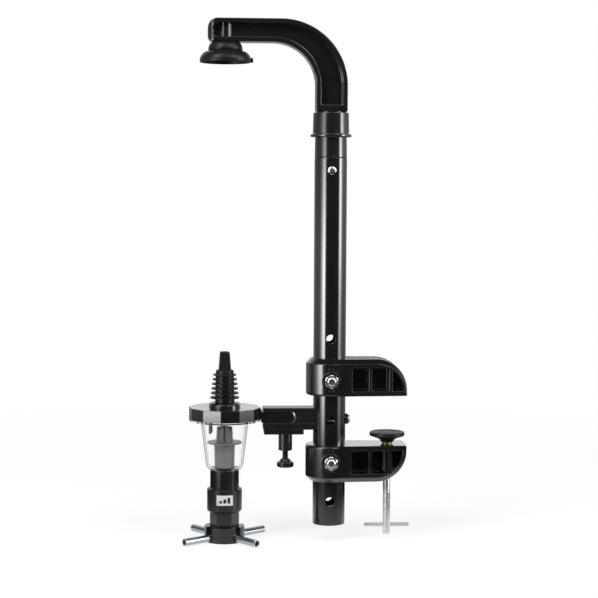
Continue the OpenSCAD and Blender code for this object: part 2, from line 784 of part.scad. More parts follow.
module stem_pin() color(zinc) at_column() at_height(pin_z)
    toward_x() cylinder(d = stem_pin_d, h = stem_pin_l, center = true);

// ---------------------------------------------------------------- bottle cup

module cup_stud() color(zinc) at_optic() at_height(stud_foot)
    cylinder(d = stud_d, h = beam_low + stud_grip - stud_foot);

module cup_nut() color(zinc) at_optic() at_height(stud_foot)
    difference() {
        hexagon(stud_nut_af, stud_nut_h);
        at_height(-over) cylinder(d = stud_d, h = stud_nut_h + 2*over);
    }

module bottle_cup() color(rubber_black) at_optic() {
    bore_r = stud_d/2 + stud_gap;
    rim_r = cup_d/2;
    // Straight heights of the lip, of its hollow and of the dome
    lip_h = 2.2;
    hollow_h = 3.5;
    step_h = 1.1;
    // Slant of the hollow, undercut at the waist, and the tab's lift and root
    slant = 4;
    undercut = 0.9;
    tab_lift = 0.4;
    tab_root = 1;
    waist_r = dome_d/2 - undercut;
    round_r = rim_r - waist_r;
    dome_bulge = (dome_d - dome_top_d)/2;
    rotate_extrude() polygon(concat(
        [[bore_r, cup_ceiling], [rim_r - cup_wall - slant, cup_ceiling],
         [rim_r - cup_wall, cup_low + hollow_h], [rim_r - cup_wall, cup_low], [rim_r, cup_low]],
        [for (i = [0:8]) let (t = 90*i/8)
            [waist_r + round_r*cos(t), cup_low + lip_h + (bell_h - lip_h)*sin(t)]],
        [[dome_d/2, dome_low + step_h]],
        [for (i = [1:5]) let (t = 90*i/5)
            [dome_top_d/2 + dome_bulge*cos(t), dome_low + step_h + (dome_h - step_h)*sin(t)]],
        [[bore_r, dome_low + dome_h]]));
    box3(rim_r - tab_root, -tab_w/2, cup_low + tab_lift,
        rim_r + tab_reach, tab_w/2, cup_low + tab_lift + tab_h);
}

// ---------------------------------------------------------------- jaws

// Half of the arm's width at a distance x from the column's axis
function jaw_half(x) = let (root = ring_d/2 - jaw_root_inset)
    root + (jaw_tip_w/2 - root)*x/jaw_reach;

// The tapered arm of a jaw, as a skin over its bevelled outer edge
module jaw_arm() {
    bend_r = jaw_h - tip_flat;
    bend_x = jaw_reach - bend_r;
    steps = 12;
    turn = concat([0], [for (i = [0:steps]) 90*i/steps], [90]);
    edge = concat([[jaw_reach, 0]], arc(bend_x, tip_flat, bend_r, 0, 90, steps), [[0, jaw_h]]);
    last = len(edge) - 1;
    points = concat([for (i = [0:last]) let (e = edge[i],
            bevel = tip_bevel + (jaw_bevel - tip_bevel)*sin(turn[i]),
            side_x = e.x - bevel*cos(turn[i]), side_z = e.y - bevel*sin(turn[i]),
            top_half = jaw_half(e.x) - bevel, side_half = jaw_half(side_x))
        each [[side_x, -side_half, side_z], [e.x, -top_half, e.y],
              [e.x, top_half, e.y], [side_x, side_half, side_z]]],
        [[0, -jaw_half(0), 0], [0, jaw_half(0), 0]]);
    front = 4*(last + 1);
    back = front + 1;
    strips = [for (i = [0:last - 1], k = [0:2]) let (p = 4*i + k)
        each [[p, p + 4, p + 1], [p + 1, p + 4, p + 5]]];
    front_side = [for (i = [0:last]) 4*(last - i)];
    back_side = [for (i = [0:last]) 4*i + 3];
    end = 4*last;
    polyhedron(points = points, convexity = 4, faces = concat(strips, [
        concat(front_side, [front]), concat(back_side, [back]),
        [front, 0, 1, 2, 3, back], [end, front, back, end + 3, end + 2, end + 1]]));
}

// The pockets in the side of a jaw, drawn as (x, z)
module jaw_pockets(last_start) {
    second = pocket_start + pocket_w + pocket_rib;
    bend_r = jaw_h - tip_flat;
    round_box(pocket_start, pocket_low, pocket_start + pocket_w, pocket_top, pocket_r);
    round_box(second, pocket_low, second + pocket_w, pocket_top, pocket_r);
    intersection() {
        round_box(last_start, pocket_low, jaw_reach - tip_rim, pocket_top, pocket_r);
        translate([jaw_reach - bend_r, tip_flat - tip_rim_drop]) circle(r = bend_r - tip_rim);
    }
}

// A jaw in its own place: clamp face on z = 0, column on the z axis, tip towards +X
module jaw_blank() difference() {
    union() {
        jaw_arm();
        rotate_extrude() polygon([[0, 0], [ring_d/2, 0], [ring_d/2, jaw_h - jaw_bevel],
            [ring_d/2 - jaw_bevel, jaw_h], [0, jaw_h]]);
        at_height(jaw_bolt_rise)
            toward_y() cylinder(d = bolt_boss_d, h = 2*bolt_boss_reach, center = true);
    }
    at_height(-over) cylinder(d = ring_bore, h = jaw_h + 2*over);
    at_height(jaw_bolt_rise) {
        toward_y() cylinder(d = cross_hole_d, h = 3*ring_d, center = true);
        for (s = [-1, 1]) translate([0, s*(seat_face + over), 0])
            toward_y() cylinder(d = spotface_d, h = 2*over, center = true);
    }
}

module upper_jaw() color(gloss_black) at_column() difference() {
    jaw_blank();
    for (s = [-1, 1]) translate([0, s*(ring_d + jaw_web)/2, 0])
        side_extrude(ring_d) jaw_pockets(pocket_start + 2*(pocket_w + pocket_rib));
}

module lower_jaw() color(gloss_black) at_column() at_height(lower_face) mirror([0, 0, 1])
    difference() {
        jaw_blank();
        difference() {
            for (s = [-1, 1]) translate([0, s*(ring_d + jaw_web)/2, 0])
                side_extrude(ring_d) jaw_pockets(pocket_start + 2*(pocket_w + pocket_rib));
            translate([column_offset, 0, 0]) cylinder(r = screw_boss_r, h = jaw_h);
        }
        translate([column_offset, 0, -over]) {
            hexagon(bolt_af + 2*fixed_gap, clamp_nut_h + over);
            cylinder(d = screw_d + 2*screw_hole_gap, h = jaw_h + 2*over);
        }
    }

module jaw_bolt(i) color(zinc) at_column() at_height(hole_z(i)) {
    translate([0, -seat_face - nut_h - bolt_show, 0])
        toward_y() cylinder(d = bolt_d, h = 2*seat_face + nut_h + bolt_show);
    translate([0, seat_face, 0]) toward_y() hexagon(bolt_af, bolt_head_h);
}
module upper_jaw_bolt() jaw_bolt(upper_hole);
module lower_jaw_bolt() jaw_bolt(lower_hole);

module jaw_nut(i) color(zinc) at_column() at_height(hole_z(i))
    translate([0, -seat_face - nut_h, 0]) toward_y() difference() {
        hexagon(bolt_af, nut_h);
        at_height(-over) cylinder(d = bolt_d, h = nut_h + 2*over);
    }
module upper_jaw_nut() jaw_nut(upper_hole);
module lower_jaw_nut() jaw_nut(lower_hole);

module clamp_nut() color(zinc) at_height(lower_face - clamp_nut_h) difference() {
    hexagon(bolt_af, clamp_nut_h);
    at_height(-over) cylinder(d = screw_d + 2*screw_gap, h = clamp_nut_h + 2*over);
}

// ---------------------------------------------------------------- clamp screw and pad

module clamp_pad() color(rubber_black) difference() {
    // Flare of the foot, bend of the underside, round of the rim and bevel of the top
    foot_h = 1.2;
    bend_h = 3.6;
    rim_round = 0.6;
    top_bevel = 0.8;
    rim_z = pad_h - pad_rim;
    // Width and spacing of the rings, and the space above the ferrule's spigot
    ring_w = 1.2;
    ring_pitch = 3.5;
    end_space = 1;
    at_height(pad_low) rotate_extrude() polygon([
        [0, 0], [pad_foot_d/2, 0], [pad_foot_d/2 + rim_round, foot_h], [pad_d/4, bend_h],
        [pad_d/2 - 3*rim_round, rim_z - rim_round], [pad_d/2 - rim_round/2, rim_z],
        [pad_d/2, rim_z + rim_round], [pad_d/2, pad_h - top_bevel],
        [pad_d/2 - top_bevel, pad_h], [0, pad_h]]);
    for (i = [0:2]) let (r = pad_d/2 - ring_w - ring_pitch*(i + 1))
        at_height(pad_low + pad_h - pad_ring_depth)
            tube(2*r + ring_w, 2*r - ring_w, pad_ring_depth + over);
    at_height(pad_low - over)
        cylinder(d = ferrule_spigot_d + 2*fixed_gap, h = over + ferrule_grip + end_space);
}

module pad_ferrule() color(yellow_zinc) at_height(ferrule_low) difference() {
    union() {
        cylinder(d = ferrule_d, h = ferrule_h);
        cylinder(d = ferrule_spigot_d, h = ferrule_h + ferrule_grip);
    }
    at_height(-over) cylinder(d = tip_bore, h = ferrule_h + ferrule_grip + 2*over);
}

module clamp_screw() color(zinc) difference() {
    union() {
        at_height(screw_foot) cylinder(d = shank_d, h = shank_l);
        at_height(screw_foot + shank_l) cylinder(d = screw_d, h = thread_l);
        at_height(ferrule_low) cylinder(d = screw_tip_d, h = ferrule_h + ferrule_grip);
    }
    at_height(screw_foot + tee_rise)
        toward_x() cylinder(d = tee_d, h = 2*shank_d, center = true);
}

module tee_bar() color(zinc) at_height(screw_foot + tee_rise)
    toward_x() cylinder(d = tee_d, h = tee_l, center = true);

// ---------------------------------------------------------------- bracket

module bracket_arm() color(soft_black) at_column() difference() {
    union() {
        box3(-bracket_reach, -bracket_depth/2, bracket_low,
            0, bracket_depth/2, slot_floor - bracket_step);
        box3(-bracket_reach, -bracket_depth/2 + bracket_step, slot_floor - over,
            0, bracket_depth/2 - bracket_step, bracket_top);
    }
    at_height(column_foot) cylinder(d = column_d, h = column_length);
    side_extrude(2*bracket_depth) {
        box2(-bracket_reach - over, slot_floor, -slot_end - slot_h/2, slot_roof);
        translate([-slot_end - slot_h/2, slot_floor + slot_h/2]) circle(d = slot_h);
    }
    box3(-bracket_reach - over, -groove_w/2, slot_roof - over,
        -slot_end - slot_h/2, groove_w/2, slot_roof + groove_depth);
    translate([-thumb_offset, 0, bracket_low - over])
        cylinder(d = shoe_d + 2*shoe_gap, h = fork_low + 2*over);
    translate([-column_d/2 - bracket_bolt_grip, 0, hole_z(middle_hole)])
        toward_x() cylinder(d = insert_d, h = column_d/2 + bracket_bolt_grip);
    for (x = plate_pegs) translate([-x, 0, bracket_low - over])
        cylinder(d = peg_d + 2*fixed_gap, h = peg_l + fixed_gap + over);
}

module bracket_insert() color(yellow_zinc) at_column()
    translate([-column_d/2 - bracket_bolt_grip, 0, hole_z(middle_hole)])
        toward_x() tube(insert_d, bracket_bolt_d, bracket_bolt_grip);

module bracket_bolt() color(zinc) at_column() at_height(hole_z(middle_hole)) toward_x() {
    at_height(-column_d/2 - bracket_bolt_grip)
        cylinder(d = bracket_bolt_d, h = column_d + bracket_bolt_grip + saddle_t);
    at_height(column_d/2 + saddle_t) dome_head(bracket_head_d, bracket_head_h);
}

module saddle_washer() color(soft_black) at_column() at_height(hole_z(middle_hole))
    difference() {
        toward_x() cylinder(d = saddle_d, h = column_d/2 + saddle_t);
        cylinder(d = column_d, h = 2*saddle_d, center = true);
        toward_x() cylinder(d = bracket_bolt_d, h = column_d);
    }

module screw_plate() color(soft_black) at_column() difference() {
    union() {
        box3(-plate_start - plate_l, -plate_depth/2, plate_low,
            -plate_start, plate_depth/2, bracket_low);
        translate([-thumb_offset, 0, boss_low]) cylinder(d = boss_d, h = boss_h + over);
        for (x = plate_pegs) translate([-x, 0, plate_low])
            cylinder(d = peg_d, h = plate_t + peg_l);
    }
    translate([-thumb_offset, 0, boss_low - over])
        cylinder(d = thumb_d + 2*thumb_gap, h = boss_h + plate_t + 2*over);
}

// ---------------------------------------------------------------- thumb screw

module at_thumb(z) at_column() translate([-thumb_offset, 0, z]) children();

module thumb_shoe() color(zinc) at_thumb(shoe_low) difference() {
    cylinder(d = shoe_d, h = shoe_t);
    at_height(-over) cylinder(d = thumb_tip_d + 2*thumb_gap, h = thumb_tip_l + slide_gap + over);
}

module thumb_screw() color(soft_black) {
    at_thumb(knob_top - knob_flare) cylinder(d = thumb_d, h = shoe_low - knob_top + knob_flare);
    at_thumb(shoe_low - over) cylinder(d = thumb_tip_d, h = thumb_tip_l + over);
}

module thumb_knob() color(soft_black) at_thumb(knob_top - knob_flare - knob_h)
    difference() {
        edge_r = 1.2;
        neck_wall = 1;
        rotate_extrude() polygon(concat([[0, 0]],
            arc(knob_d/2 - edge_r, edge_r, edge_r, -90, 0, 4),
            arc(knob_d/2 - edge_r, knob_h - edge_r, edge_r, 0, 90, 4),
            [[knob_d/2 - 2*edge_r, knob_h], [thumb_d/2 + neck_wall, knob_h + knob_flare],
             [0, knob_h + knob_flare]]));
        at_height(knob_h) cylinder(d = thumb_d, h = knob_flare + over);
    }

// ---------------------------------------------------------------- optic cap

module optic_cap() color(gloss_black) at_optic() difference() {
    shoulder_root = 4;
    shoulder_h = 2.4;
    shoulder_gap = 1.3;
    flange_gap = 0.3;
    union() {
        at_height(cap_low) rotate(optic_turn) cylinder(d = cap_d, h = cap_h, $fn = 12);
        // The shoulder between the cap and the fork, which the tongue grows out of
        box3(cap_d/2 - shoulder_root, -tongue_w/2, cap_low,
            fork_mouth - shoulder_gap, tongue_w/2, tongue_top + shoulder_h);
        side_extrude(tongue_w) {
            box2(cap_d/2 + flange_gap, tongue_low, tongue_end - tongue_h/2, tongue_top);
            translate([tongue_end - tongue_h/2, tongue_low + tongue_h/2]) circle(d = tongue_h);
        }
        box3(fork_mouth + shoulder_gap, -groove_w/2 + rib_gap, tongue_top - over,
            tongue_end - tongue_h, groove_w/2 - rib_gap, slot_roof + groove_depth - roof_gap);
    }
    at_height(cap_low - over) difference() {
        cylinder(d = cap_hollow_d, h = cap_h - cap_roof + over);
        at_height(cap_h - cap_roof + over - nozzle_l) cylinder(d = nozzle_d, h = nozzle_l);
    }
    at_height(cap_low) cylinder(d = inlet_d, h = cap_h + over);
    translate([-air_hole_r, 0, cap_low]) cylinder(d = air_hole_d, h = cap_h + over);
    translate([-vent_r, 0, cap_ceiling - over]) cylinder(d = vent_d, h = over + vent_grip);
}

module cap_gasket() color(grey_plastic) at_optic() at_height(cap_low + chamber_rim)
    tube(cap_hollow_d - 4*fixed_gap, chamber_top_d - 2*chamber_wall, cap_h - cap_roof - chamber_rim);

module stopper_seat() color(gloss_black) at_optic() at_height(cap_top) difference() {
    cylinder(d = seat_d, h = seat_h);
    at_height(-over) cylinder(d = inlet_d, h = seat_h + 2*over);
    at_height(seat_h - stopper_foot) cylinder(d = core_low_d + 2*fixed_gap, h = seat_h);
}

// ---------------------------------------------------------------- stopper and spout

module stopper() color(rubber_black) at_optic() at_height(cap_top + seat_h) {
    fin_r = function (i) (fin_low_d + (fin_top_d - fin_low_d)*i/(fin_count - 1))/2;
    core_r = function (z) (core_low_d + (core_top_d - core_low_d)*max(z, 0)/stopper_h)/2;
    flank = 0.7;
    fin_bevel = 0.5;
    fin_chamfer = 0.3;
    end_chamfer = 1;
    half_edge = fin_edge/2;
    root = half_edge + flank;
    rotate_extrude() polygon(concat([[inlet_d/2 + fixed_gap, -stopper_foot],
        [core_r(0), -stopper_foot]],
        [for (i = [0:fin_count - 1]) let (z = fin_first + i*fin_pitch) each [
            [core_r(z - root), z - root], [fin_r(i) - fin_bevel, z - half_edge],
            [fin_r(i), z - half_edge + fin_chamfer], [fin_r(i), z + half_edge - fin_chamfer],
            [fin_r(i) - fin_bevel, z + half_edge], [core_r(z + root), z + root]]],
        [[core_top_d/2, stopper_h - end_chamfer], [core_top_d/2 - end_chamfer, stopper_h],
         [inlet_d/2 + fixed_gap, stopper_h]]));
}

module inlet_spout() color(soft_black) at_optic() difference() {
    foot = cap_top + seat_h + stopper_h;
    tip = foot + spout_h;
    inlet_low = cap_ceiling - nozzle_l;
    corner = 2;
    draft = 1.4;
    union() {
        at_height(inlet_low) cylinder(d = inlet_d, h = foot - inlet_low);
        intersection() {
            side_extrude(2*spout_depth) polygon(concat(
                [[-spout_low_w/2, foot], [spout_low_w/2, foot]],
                arc(spout_top_w/2 - corner, tip - corner, corner, 8, 90, 5),
                [[-spout_top_w/2, tip]]));
            rotate([0, 0, 90]) side_extrude(2*spout_low_w) polygon([
                [-spout_depth/2, foot], [spout_depth/2, foot],
                [spout_depth/2 - draft, tip], [-spout_depth/2 + draft, tip]]);
        }
    }
    at_height(inlet_low - over) cylinder(d = inlet_bore, h = tip - inlet_low + 2*over);
}

// ---------------------------------------------------------------- measuring chamber

// The chamber's profile, drawn in by inset, from its foot up to the cap
function chamber_profile(inset, top) = let (
        low_r = chamber_low_d/2 - chamber_foot_r, top_r = chamber_top_d/2 - inset)
    concat([[0, chamber_low + inset]],
        arc(low_r, chamber_low + chamber_foot_r, chamber_foot_r - inset, -90, 0, 8),
        [[top_r, cap_low - chamber_flange], [top_r, top], [0, top]]);

module chamber() color(clear) at_optic() difference() {
    union() {
        rotate_extrude() polygon(chamber_profile(0, cap_low + chamber_rim));
        at_height(cap_low - chamber_flange) rotate(optic_turn)
            cylinder(d = cap_d, h = chamber_flange, $fn = 12);
    }
    rotate_extrude() polygon(chamber_profile(chamber_wall, cap_low + chamber_rim + over));
    at_height(chamber_low - over) cylinder(d = valve_collar_d, h = chamber_wall + 2*over);
}

module vent_tube() color(grey_plastic) at_optic() translate([-vent_r, 0, 0]) difference() {
    tip = cap_low - vent_drop;
    at_height(tip) tube(vent_d, vent_bore, cap_ceiling + vent_grip - tip);
    at_height(tip) rotate([0, -45, 0])
        box3(-vent_d, -vent_d, -2*vent_d, 2*vent_d, vent_d, 0);
}

module guide_tube() color(grey_plastic) at_optic() at_height(chamber_floor) difference() {
    disc_edge = 0.4;
    disc_top = disc_rise + disc_t;
    // Notches in the top, slit in the front and drain holes at the back
    castle_w = 3.2;
    castle_h = 2.2;
    slit_w = 1.4;
    slit_lift = 0.5;
    slit_turn = -93;
    drain_d = 3;
    rotate_extrude() polygon([
        [guide_bore/2, 0], [guide_foot_d/2, 0], [guide_low_d/2, disc_rise],
        [disc_d/2 - disc_edge, disc_rise], [disc_d/2, disc_rise + disc_edge],
        [disc_d/2, disc_top - disc_edge], [disc_d/2 - disc_edge, disc_top],
        [guide_mid_d/2, disc_top], [guide_top_d/2, guide_h], [guide_bore/2, guide_h]]);
    for (a = [45:90:315]) rotate(a)
        box3(0, -castle_w/2, guide_h - castle_h, guide_mid_d, castle_w/2, guide_h + over);
    rotate(slit_turn)
        box3(0, -slit_w/2, disc_top + slit_lift, guide_mid_d, slit_w/2, guide_h + over);
    for (a = [60, 120]) rotate(a) at_height(valve_collar_h + 1)
        toward_x() cylinder(d = drain_d, h = guide_low_d);
}

// ---------------------------------------------------------------- valve

module valve_body() color(gloss_black) at_optic() difference() {
    rotate_extrude() polygon([
        [plunger_d/2 + plunger_gap, chamber_low + valve_collar_h],
        [plunger_d/2 + plunger_gap, valve_low + spring_pocket],
        [spring_pocket_d/2, valve_low + spring_pocket], [spring_pocket_d/2, valve_low],
        [valve_neck_d/2, valve_low], [valve_neck_d/2, chamber_low], [valve_collar_d/2, chamber_low],
        [valve_collar_d/2, chamber_low + valve_collar_h]]);
}

module valve_sleeve() color(soft_black) at_optic() rotate_extrude() polygon([
    [valve_neck_d/2 + sleeve_gap, sleeve_top], [valve_neck_d/2 + sleeve_gap, valve_low],
    [sleeve_bore/2, valve_low - 0.5], [sleeve_bore/2, sleeve_low],
    [sleeve_d/2 - sleeve_bevel, sleeve_low], [sleeve_d/2, sleeve_low + sleeve_bevel],
    [sleeve_d/2, sleeve_top - sleeve_bevel], [sleeve_d/2 - sleeve_bevel, sleeve_top]]);

module sleeve_label() color(white_label) at_optic() intersection() {
    at_height(label_z) tube(sleeve_d + 2*label_t, sleeve_d, label_h);
    box3(-label_w/2, -sleeve_d, label_z, label_w/2, 0, label_z + label_h);
}

module valve_spring() color(zinc) at_optic() at_height(hex_top)
    coil_spring(valve_coil_d, valve_wire_d, valve_low + spring_pocket - hex_top, valve_turns);

// ---------------------------------------------------------------- plunger and prongs

module plunger() color(soft_black) at_optic() difference() {
    union() {
        at_height(hub_top) rotate(hex_turn) cylinder(d = hex_d, h = hex_top - hub_top, $fn = 6);
        at_height(hub_top) cylinder(d = plunger_d, h = seal_top - seal_t - hub_top);
        at_height(hub_low) cylinder(d = hub_spigot_d, h = hub_h + over);
    }
    at_height(hub_low - over) cylinder(d = plunger_bore, h = port_z - hub_low + over);
    at_height(port_z) toward_x() cylinder(d = port_d, h = 2*plunger_d, center = true);
}

module valve_seal() color(rubber_black) at_optic() at_height(seal_top - seal_t)
    cylinder(d = seal_d, h = seal_t);

module each_prong() at_height(prong_z) for (i = [0:3])
    rotate(optic_turn + 45 + 90*i) toward_x() children();

module prong_hub() color(soft_black) at_optic() difference() {
    notch_r = prong_d/2 + notch_gap;
    at_height(hub_low) cylinder(d = hub_d, h = hub_h);
    at_height(hub_low - over) cylinder(d = hub_spigot_d + 2*fixed_gap, h = hub_h + 2*over);
    each_prong() {
        at_height(prong_start) cylinder(d = prong_d, h = hub_d);
        at_height(hub_d/2 - notch_depth) {
            cylinder(r = notch_r, h = hub_d);
            translate([-hub_h, -notch_r, 0]) cube([hub_h, 2*notch_r, hub_d]);
        }
    }
}

module prongs() color(chrome) at_optic() each_prong() difference() {
    at_height(prong_start) cylinder(d = prong_d, h = prong_reach - prong_start);
    at_height(prong_reach - prong_bore_l) cylinder(d = prong_bore, h = prong_bore_l + over);
}

module prong_plugs() color(rubber_black) at_optic() each_prong()
    at_height(prong_reach - prong_bore_l)
        cylinder(d = prong_bore, h = prong_bore_l - prong_plug_sink);

// ---------------------------------------------------------------- assembly

column_tube();
column_bush();
bush_screw();
upper_jaw();
lower_jaw();
upper_jaw_bolt();
lower_jaw_bolt();
upper_jaw_nut();
lower_jaw_nut();
clamp_nut();
bracket_arm();
bracket_insert();
bracket_bolt();
saddle_washer();
screw_plate();
arm_spring();
spring_seat();
swan_neck();
arm_stem();
stem_pin();
cup_stud();
cup_nut();
bottle_cup();
clamp_pad();
pad_ferrule();
clamp_screw();
tee_bar();
thumb_shoe();
thumb_screw();
thumb_knob();
optic_cap();
cap_gasket();
stopper_seat();
stopper();
inlet_spout();
chamber();
vent_tube();
guide_tube();
valve_body();
valve_sleeve();
sleeve_label();
valve_spring();
plunger();
valve_seal();
prong_hub();
prongs();
prong_plugs();
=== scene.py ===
"""Looks of the clamp-on liquor optic dispenser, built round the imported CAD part.

Lengths are in millimetres in the part's own frame, and meshes are scaled to metres when they are
made: +Z up, origin on the upper jaw's clamp face, the optic on the -X side, the front towards -Y.
"""

import json
import math

import bmesh
import bpy
from mathutils import Matrix, Vector


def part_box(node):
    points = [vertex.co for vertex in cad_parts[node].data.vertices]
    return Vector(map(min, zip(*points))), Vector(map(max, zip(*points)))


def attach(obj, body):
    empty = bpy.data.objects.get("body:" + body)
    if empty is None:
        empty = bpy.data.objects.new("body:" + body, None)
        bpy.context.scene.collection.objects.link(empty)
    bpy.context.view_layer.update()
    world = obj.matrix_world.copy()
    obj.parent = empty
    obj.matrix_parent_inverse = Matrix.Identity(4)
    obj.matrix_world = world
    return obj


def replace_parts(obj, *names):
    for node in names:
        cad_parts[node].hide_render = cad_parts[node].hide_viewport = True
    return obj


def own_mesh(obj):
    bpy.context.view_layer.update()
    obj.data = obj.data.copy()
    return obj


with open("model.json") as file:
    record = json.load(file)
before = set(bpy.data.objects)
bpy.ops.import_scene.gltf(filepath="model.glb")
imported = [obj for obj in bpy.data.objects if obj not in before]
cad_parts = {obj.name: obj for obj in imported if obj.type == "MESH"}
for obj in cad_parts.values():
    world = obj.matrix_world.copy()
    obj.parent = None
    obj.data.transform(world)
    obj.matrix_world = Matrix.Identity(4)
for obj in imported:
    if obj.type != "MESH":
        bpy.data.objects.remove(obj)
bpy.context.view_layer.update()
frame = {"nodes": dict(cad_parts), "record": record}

MM = 0.001
SLOT_OF = {row["node"]: row["material_slot"] for row in frame["record"]["subparts"]}
BODIES = frame["record"]["behaviour"]["bodies"]
BODY_OF = {node: body for body, nodes in BODIES.items() for node in nodes}


def box_mm(node):
    """Lowest and highest corner of a CAD node, in millimetres."""
    low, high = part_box(node)
    return low / MM, high / MM


def middle_x(node):
    low, high = box_mm(node)
    return (low.x + high.x) / 2


COLUMN_X = middle_x("column_tube")
OPTIC_X = middle_x("stopper_seat")

# ---------------------------------------------------------------- node trees


class Tree:
    """Builds a node tree: add() makes a node and sets its sockets and properties."""

    def __init__(self, tree):
        self.tree = tree
        tree.nodes.clear()

    def add(self, kind, inputs=None, **settings):
        node = self.tree.nodes.new(kind)
        for key, value in settings.items():
            setattr(node, key, value)
        for key, value in (inputs or {}).items():
            self.feed(node.inputs[key], value)
        return node

    def feed(self, socket, value):
        if isinstance(value, bpy.types.NodeSocket):
            self.tree.links.new(value, socket)
        else:
            socket.default_value = value

    def math(self, operation, a, b=0.0, clamp=False):
        node = self.add("ShaderNodeMath", {0: a, 1: b}, operation=operation, use_clamp=clamp)
        return node.outputs[0]

    def plus(self, a, b, clamp=False):
        return self.math("ADD", a, b, clamp)

    def minus(self, a, b):
        return self.math("SUBTRACT", a, b)

    def times(self, a, b, clamp=False):
        return self.math("MULTIPLY", a, b, clamp)

    def noise(self, where, scale, detail=2.0, roughness=0.5):
        sockets = {"Vector": where, "Scale": scale, "Detail": detail, "Roughness": roughness}
        return self.add("ShaderNodeTexNoise", sockets).outputs["Fac"]

    def span(self, value, low, high, to_low=0.0, to_high=1.0, kind="LINEAR"):
        sockets = {0: value, 1: low, 2: high, 3: to_low, 4: to_high}
        return self.add("ShaderNodeMapRange", sockets, interpolation_type=kind).outputs[0]

    def mix(self, share, a, b):
        node = self.tree.nodes.new("ShaderNodeMix")
        node.data_type = "RGBA"
        for index, value in ((0, share), (6, a), (7, b)):
            self.feed(node.inputs[index], value)
        return node.outputs[2]


def new_tree(name, kind, inputs, outputs):
    """An empty node group with its named sockets: (name, socket type, start value)."""
    group = bpy.data.node_groups.new(name, kind)
    for in_out, sockets in (("INPUT", inputs), ("OUTPUT", outputs)):
        for label, socket_kind, value in sockets:
            socket = group.interface.new_socket(label, in_out=in_out,
                                                socket_type="NodeSocket" + socket_kind)
            if value is not None:
                socket.default_value = value
    build = Tree(group)
    return build, build.add("NodeGroupInput").outputs, build.add("NodeGroupOutput").inputs


# ---------------------------------------------------------------- surface effects


def moulded_grain():
    """A fine bump, and a roughness that drifts in soft patches and specks."""
    build, given, out = new_tree(
        "moulded_grain",
        "ShaderNodeTree",
        [("Grain", "Float", 2500.0), ("Depth", "Float", 0.00002), ("Roughness", "Float", 0.4),
         ("Change", "Float", 0.1)],
        [("Roughness", "Float", None), ("Normal", "Vector", None), ("Patches", "Float", None)],
    )
    where = build.add("ShaderNodeTexCoord").outputs["Object"]
    fine = build.noise(where, given["Grain"], 3.0, 0.6)
    patches = build.noise(where, 45.0, 3.0, 0.55)
    specks = build.noise(where, 900.0, 2.0, 0.6)
    both = build.plus(build.times(patches, 0.6), build.times(specks, 0.4))
    change = build.times(build.minus(both, 0.5), given["Change"])
    build.feed(out["Roughness"], build.plus(given["Roughness"], change, clamp=True))
    bump = build.add("ShaderNodeBump",
                     {"Height": fine, "Distance": given["Depth"], "Strength": 1.0})
    build.feed(out["Normal"], bump.outputs["Normal"])
    build.feed(out["Patches"], patches)
    return build.tree


def mask_tree(name, **sizes):
    """A group that gives a mask, and the place on the piece that its noise follows."""
    sockets = [(label, "Float", value) for label, value in sizes.items()]
    build, given, out = new_tree(name, "ShaderNodeTree", sockets, [("Mask", "Float", None)])
    return build, given, out, build.add("ShaderNodeTexCoord").outputs["Object"]


def rubbed_edges():
    """Edges rubbed lighter where the surface bends sharply, broken up by noise."""
    build, given, out, where = mask_tree("rubbed_edges", Amount=0.5, Breakup=400.0)
    pointed = build.add("ShaderNodeNewGeometry").outputs["Pointiness"]
    edge = build.span(pointed, 0.53, 0.62)
    broken = build.span(build.noise(where, given["Breakup"], 4.0, 0.65), 0.42, 0.62)
    build.feed(out["Mask"], build.times(build.times(edge, broken), given["Amount"], clamp=True))
    return build.tree


def settled_dust():
    """Fine dust on what faces up, thicker in places."""
    build, given, out, where = mask_tree("settled_dust", Amount=0.15, Patches=120.0)
    normal = build.add("ShaderNodeNewGeometry").outputs["Normal"]
    lies = build.span(build.add("ShaderNodeSeparateXYZ", {0: normal}).outputs["Z"], 0.35, 1.0)
    patch = build.span(build.noise(where, given["Patches"], 5.0, 0.6), 0.35, 0.75)
    build.feed(out["Mask"], build.times(build.times(lies, patch), given["Amount"], clamp=True))
    return build.tree


def drawn_scratches():
    """Short fine scratches in two directions, as wiping and handling leave."""
    build, given, out, where = mask_tree("drawn_scratches", Amount=0.1)
    total = None
    for stretch in ((1500.0, 1500.0, 60.0), (90.0, 1200.0, 1400.0)):
        stretched = build.add("ShaderNodeMapping", {"Vector": where, "Scale": stretch}).outputs[0]
        line = build.span(build.noise(stretched, 1.0, 2.0, 0.5), 0.66, 0.74)
        total = line if total is None else build.math("MAXIMUM", total, line)
    build.feed(out["Mask"], build.times(total, given["Amount"], clamp=True))
    return build.tree


GRAIN = moulded_grain()
RUBBED = rubbed_edges()
DUST = settled_dust()
SCRATCHES = drawn_scratches()


def effect(build, group, sockets):
    node = build.add("ShaderNodeGroup", node_tree=group)
    for key, value in sockets.items():
        node.inputs[key].default_value = value
    return node.outputs


def new_material(name):
    material = bpy.data.materials.new(name)
    material.use_nodes = True
    return material, Tree(material.node_tree)


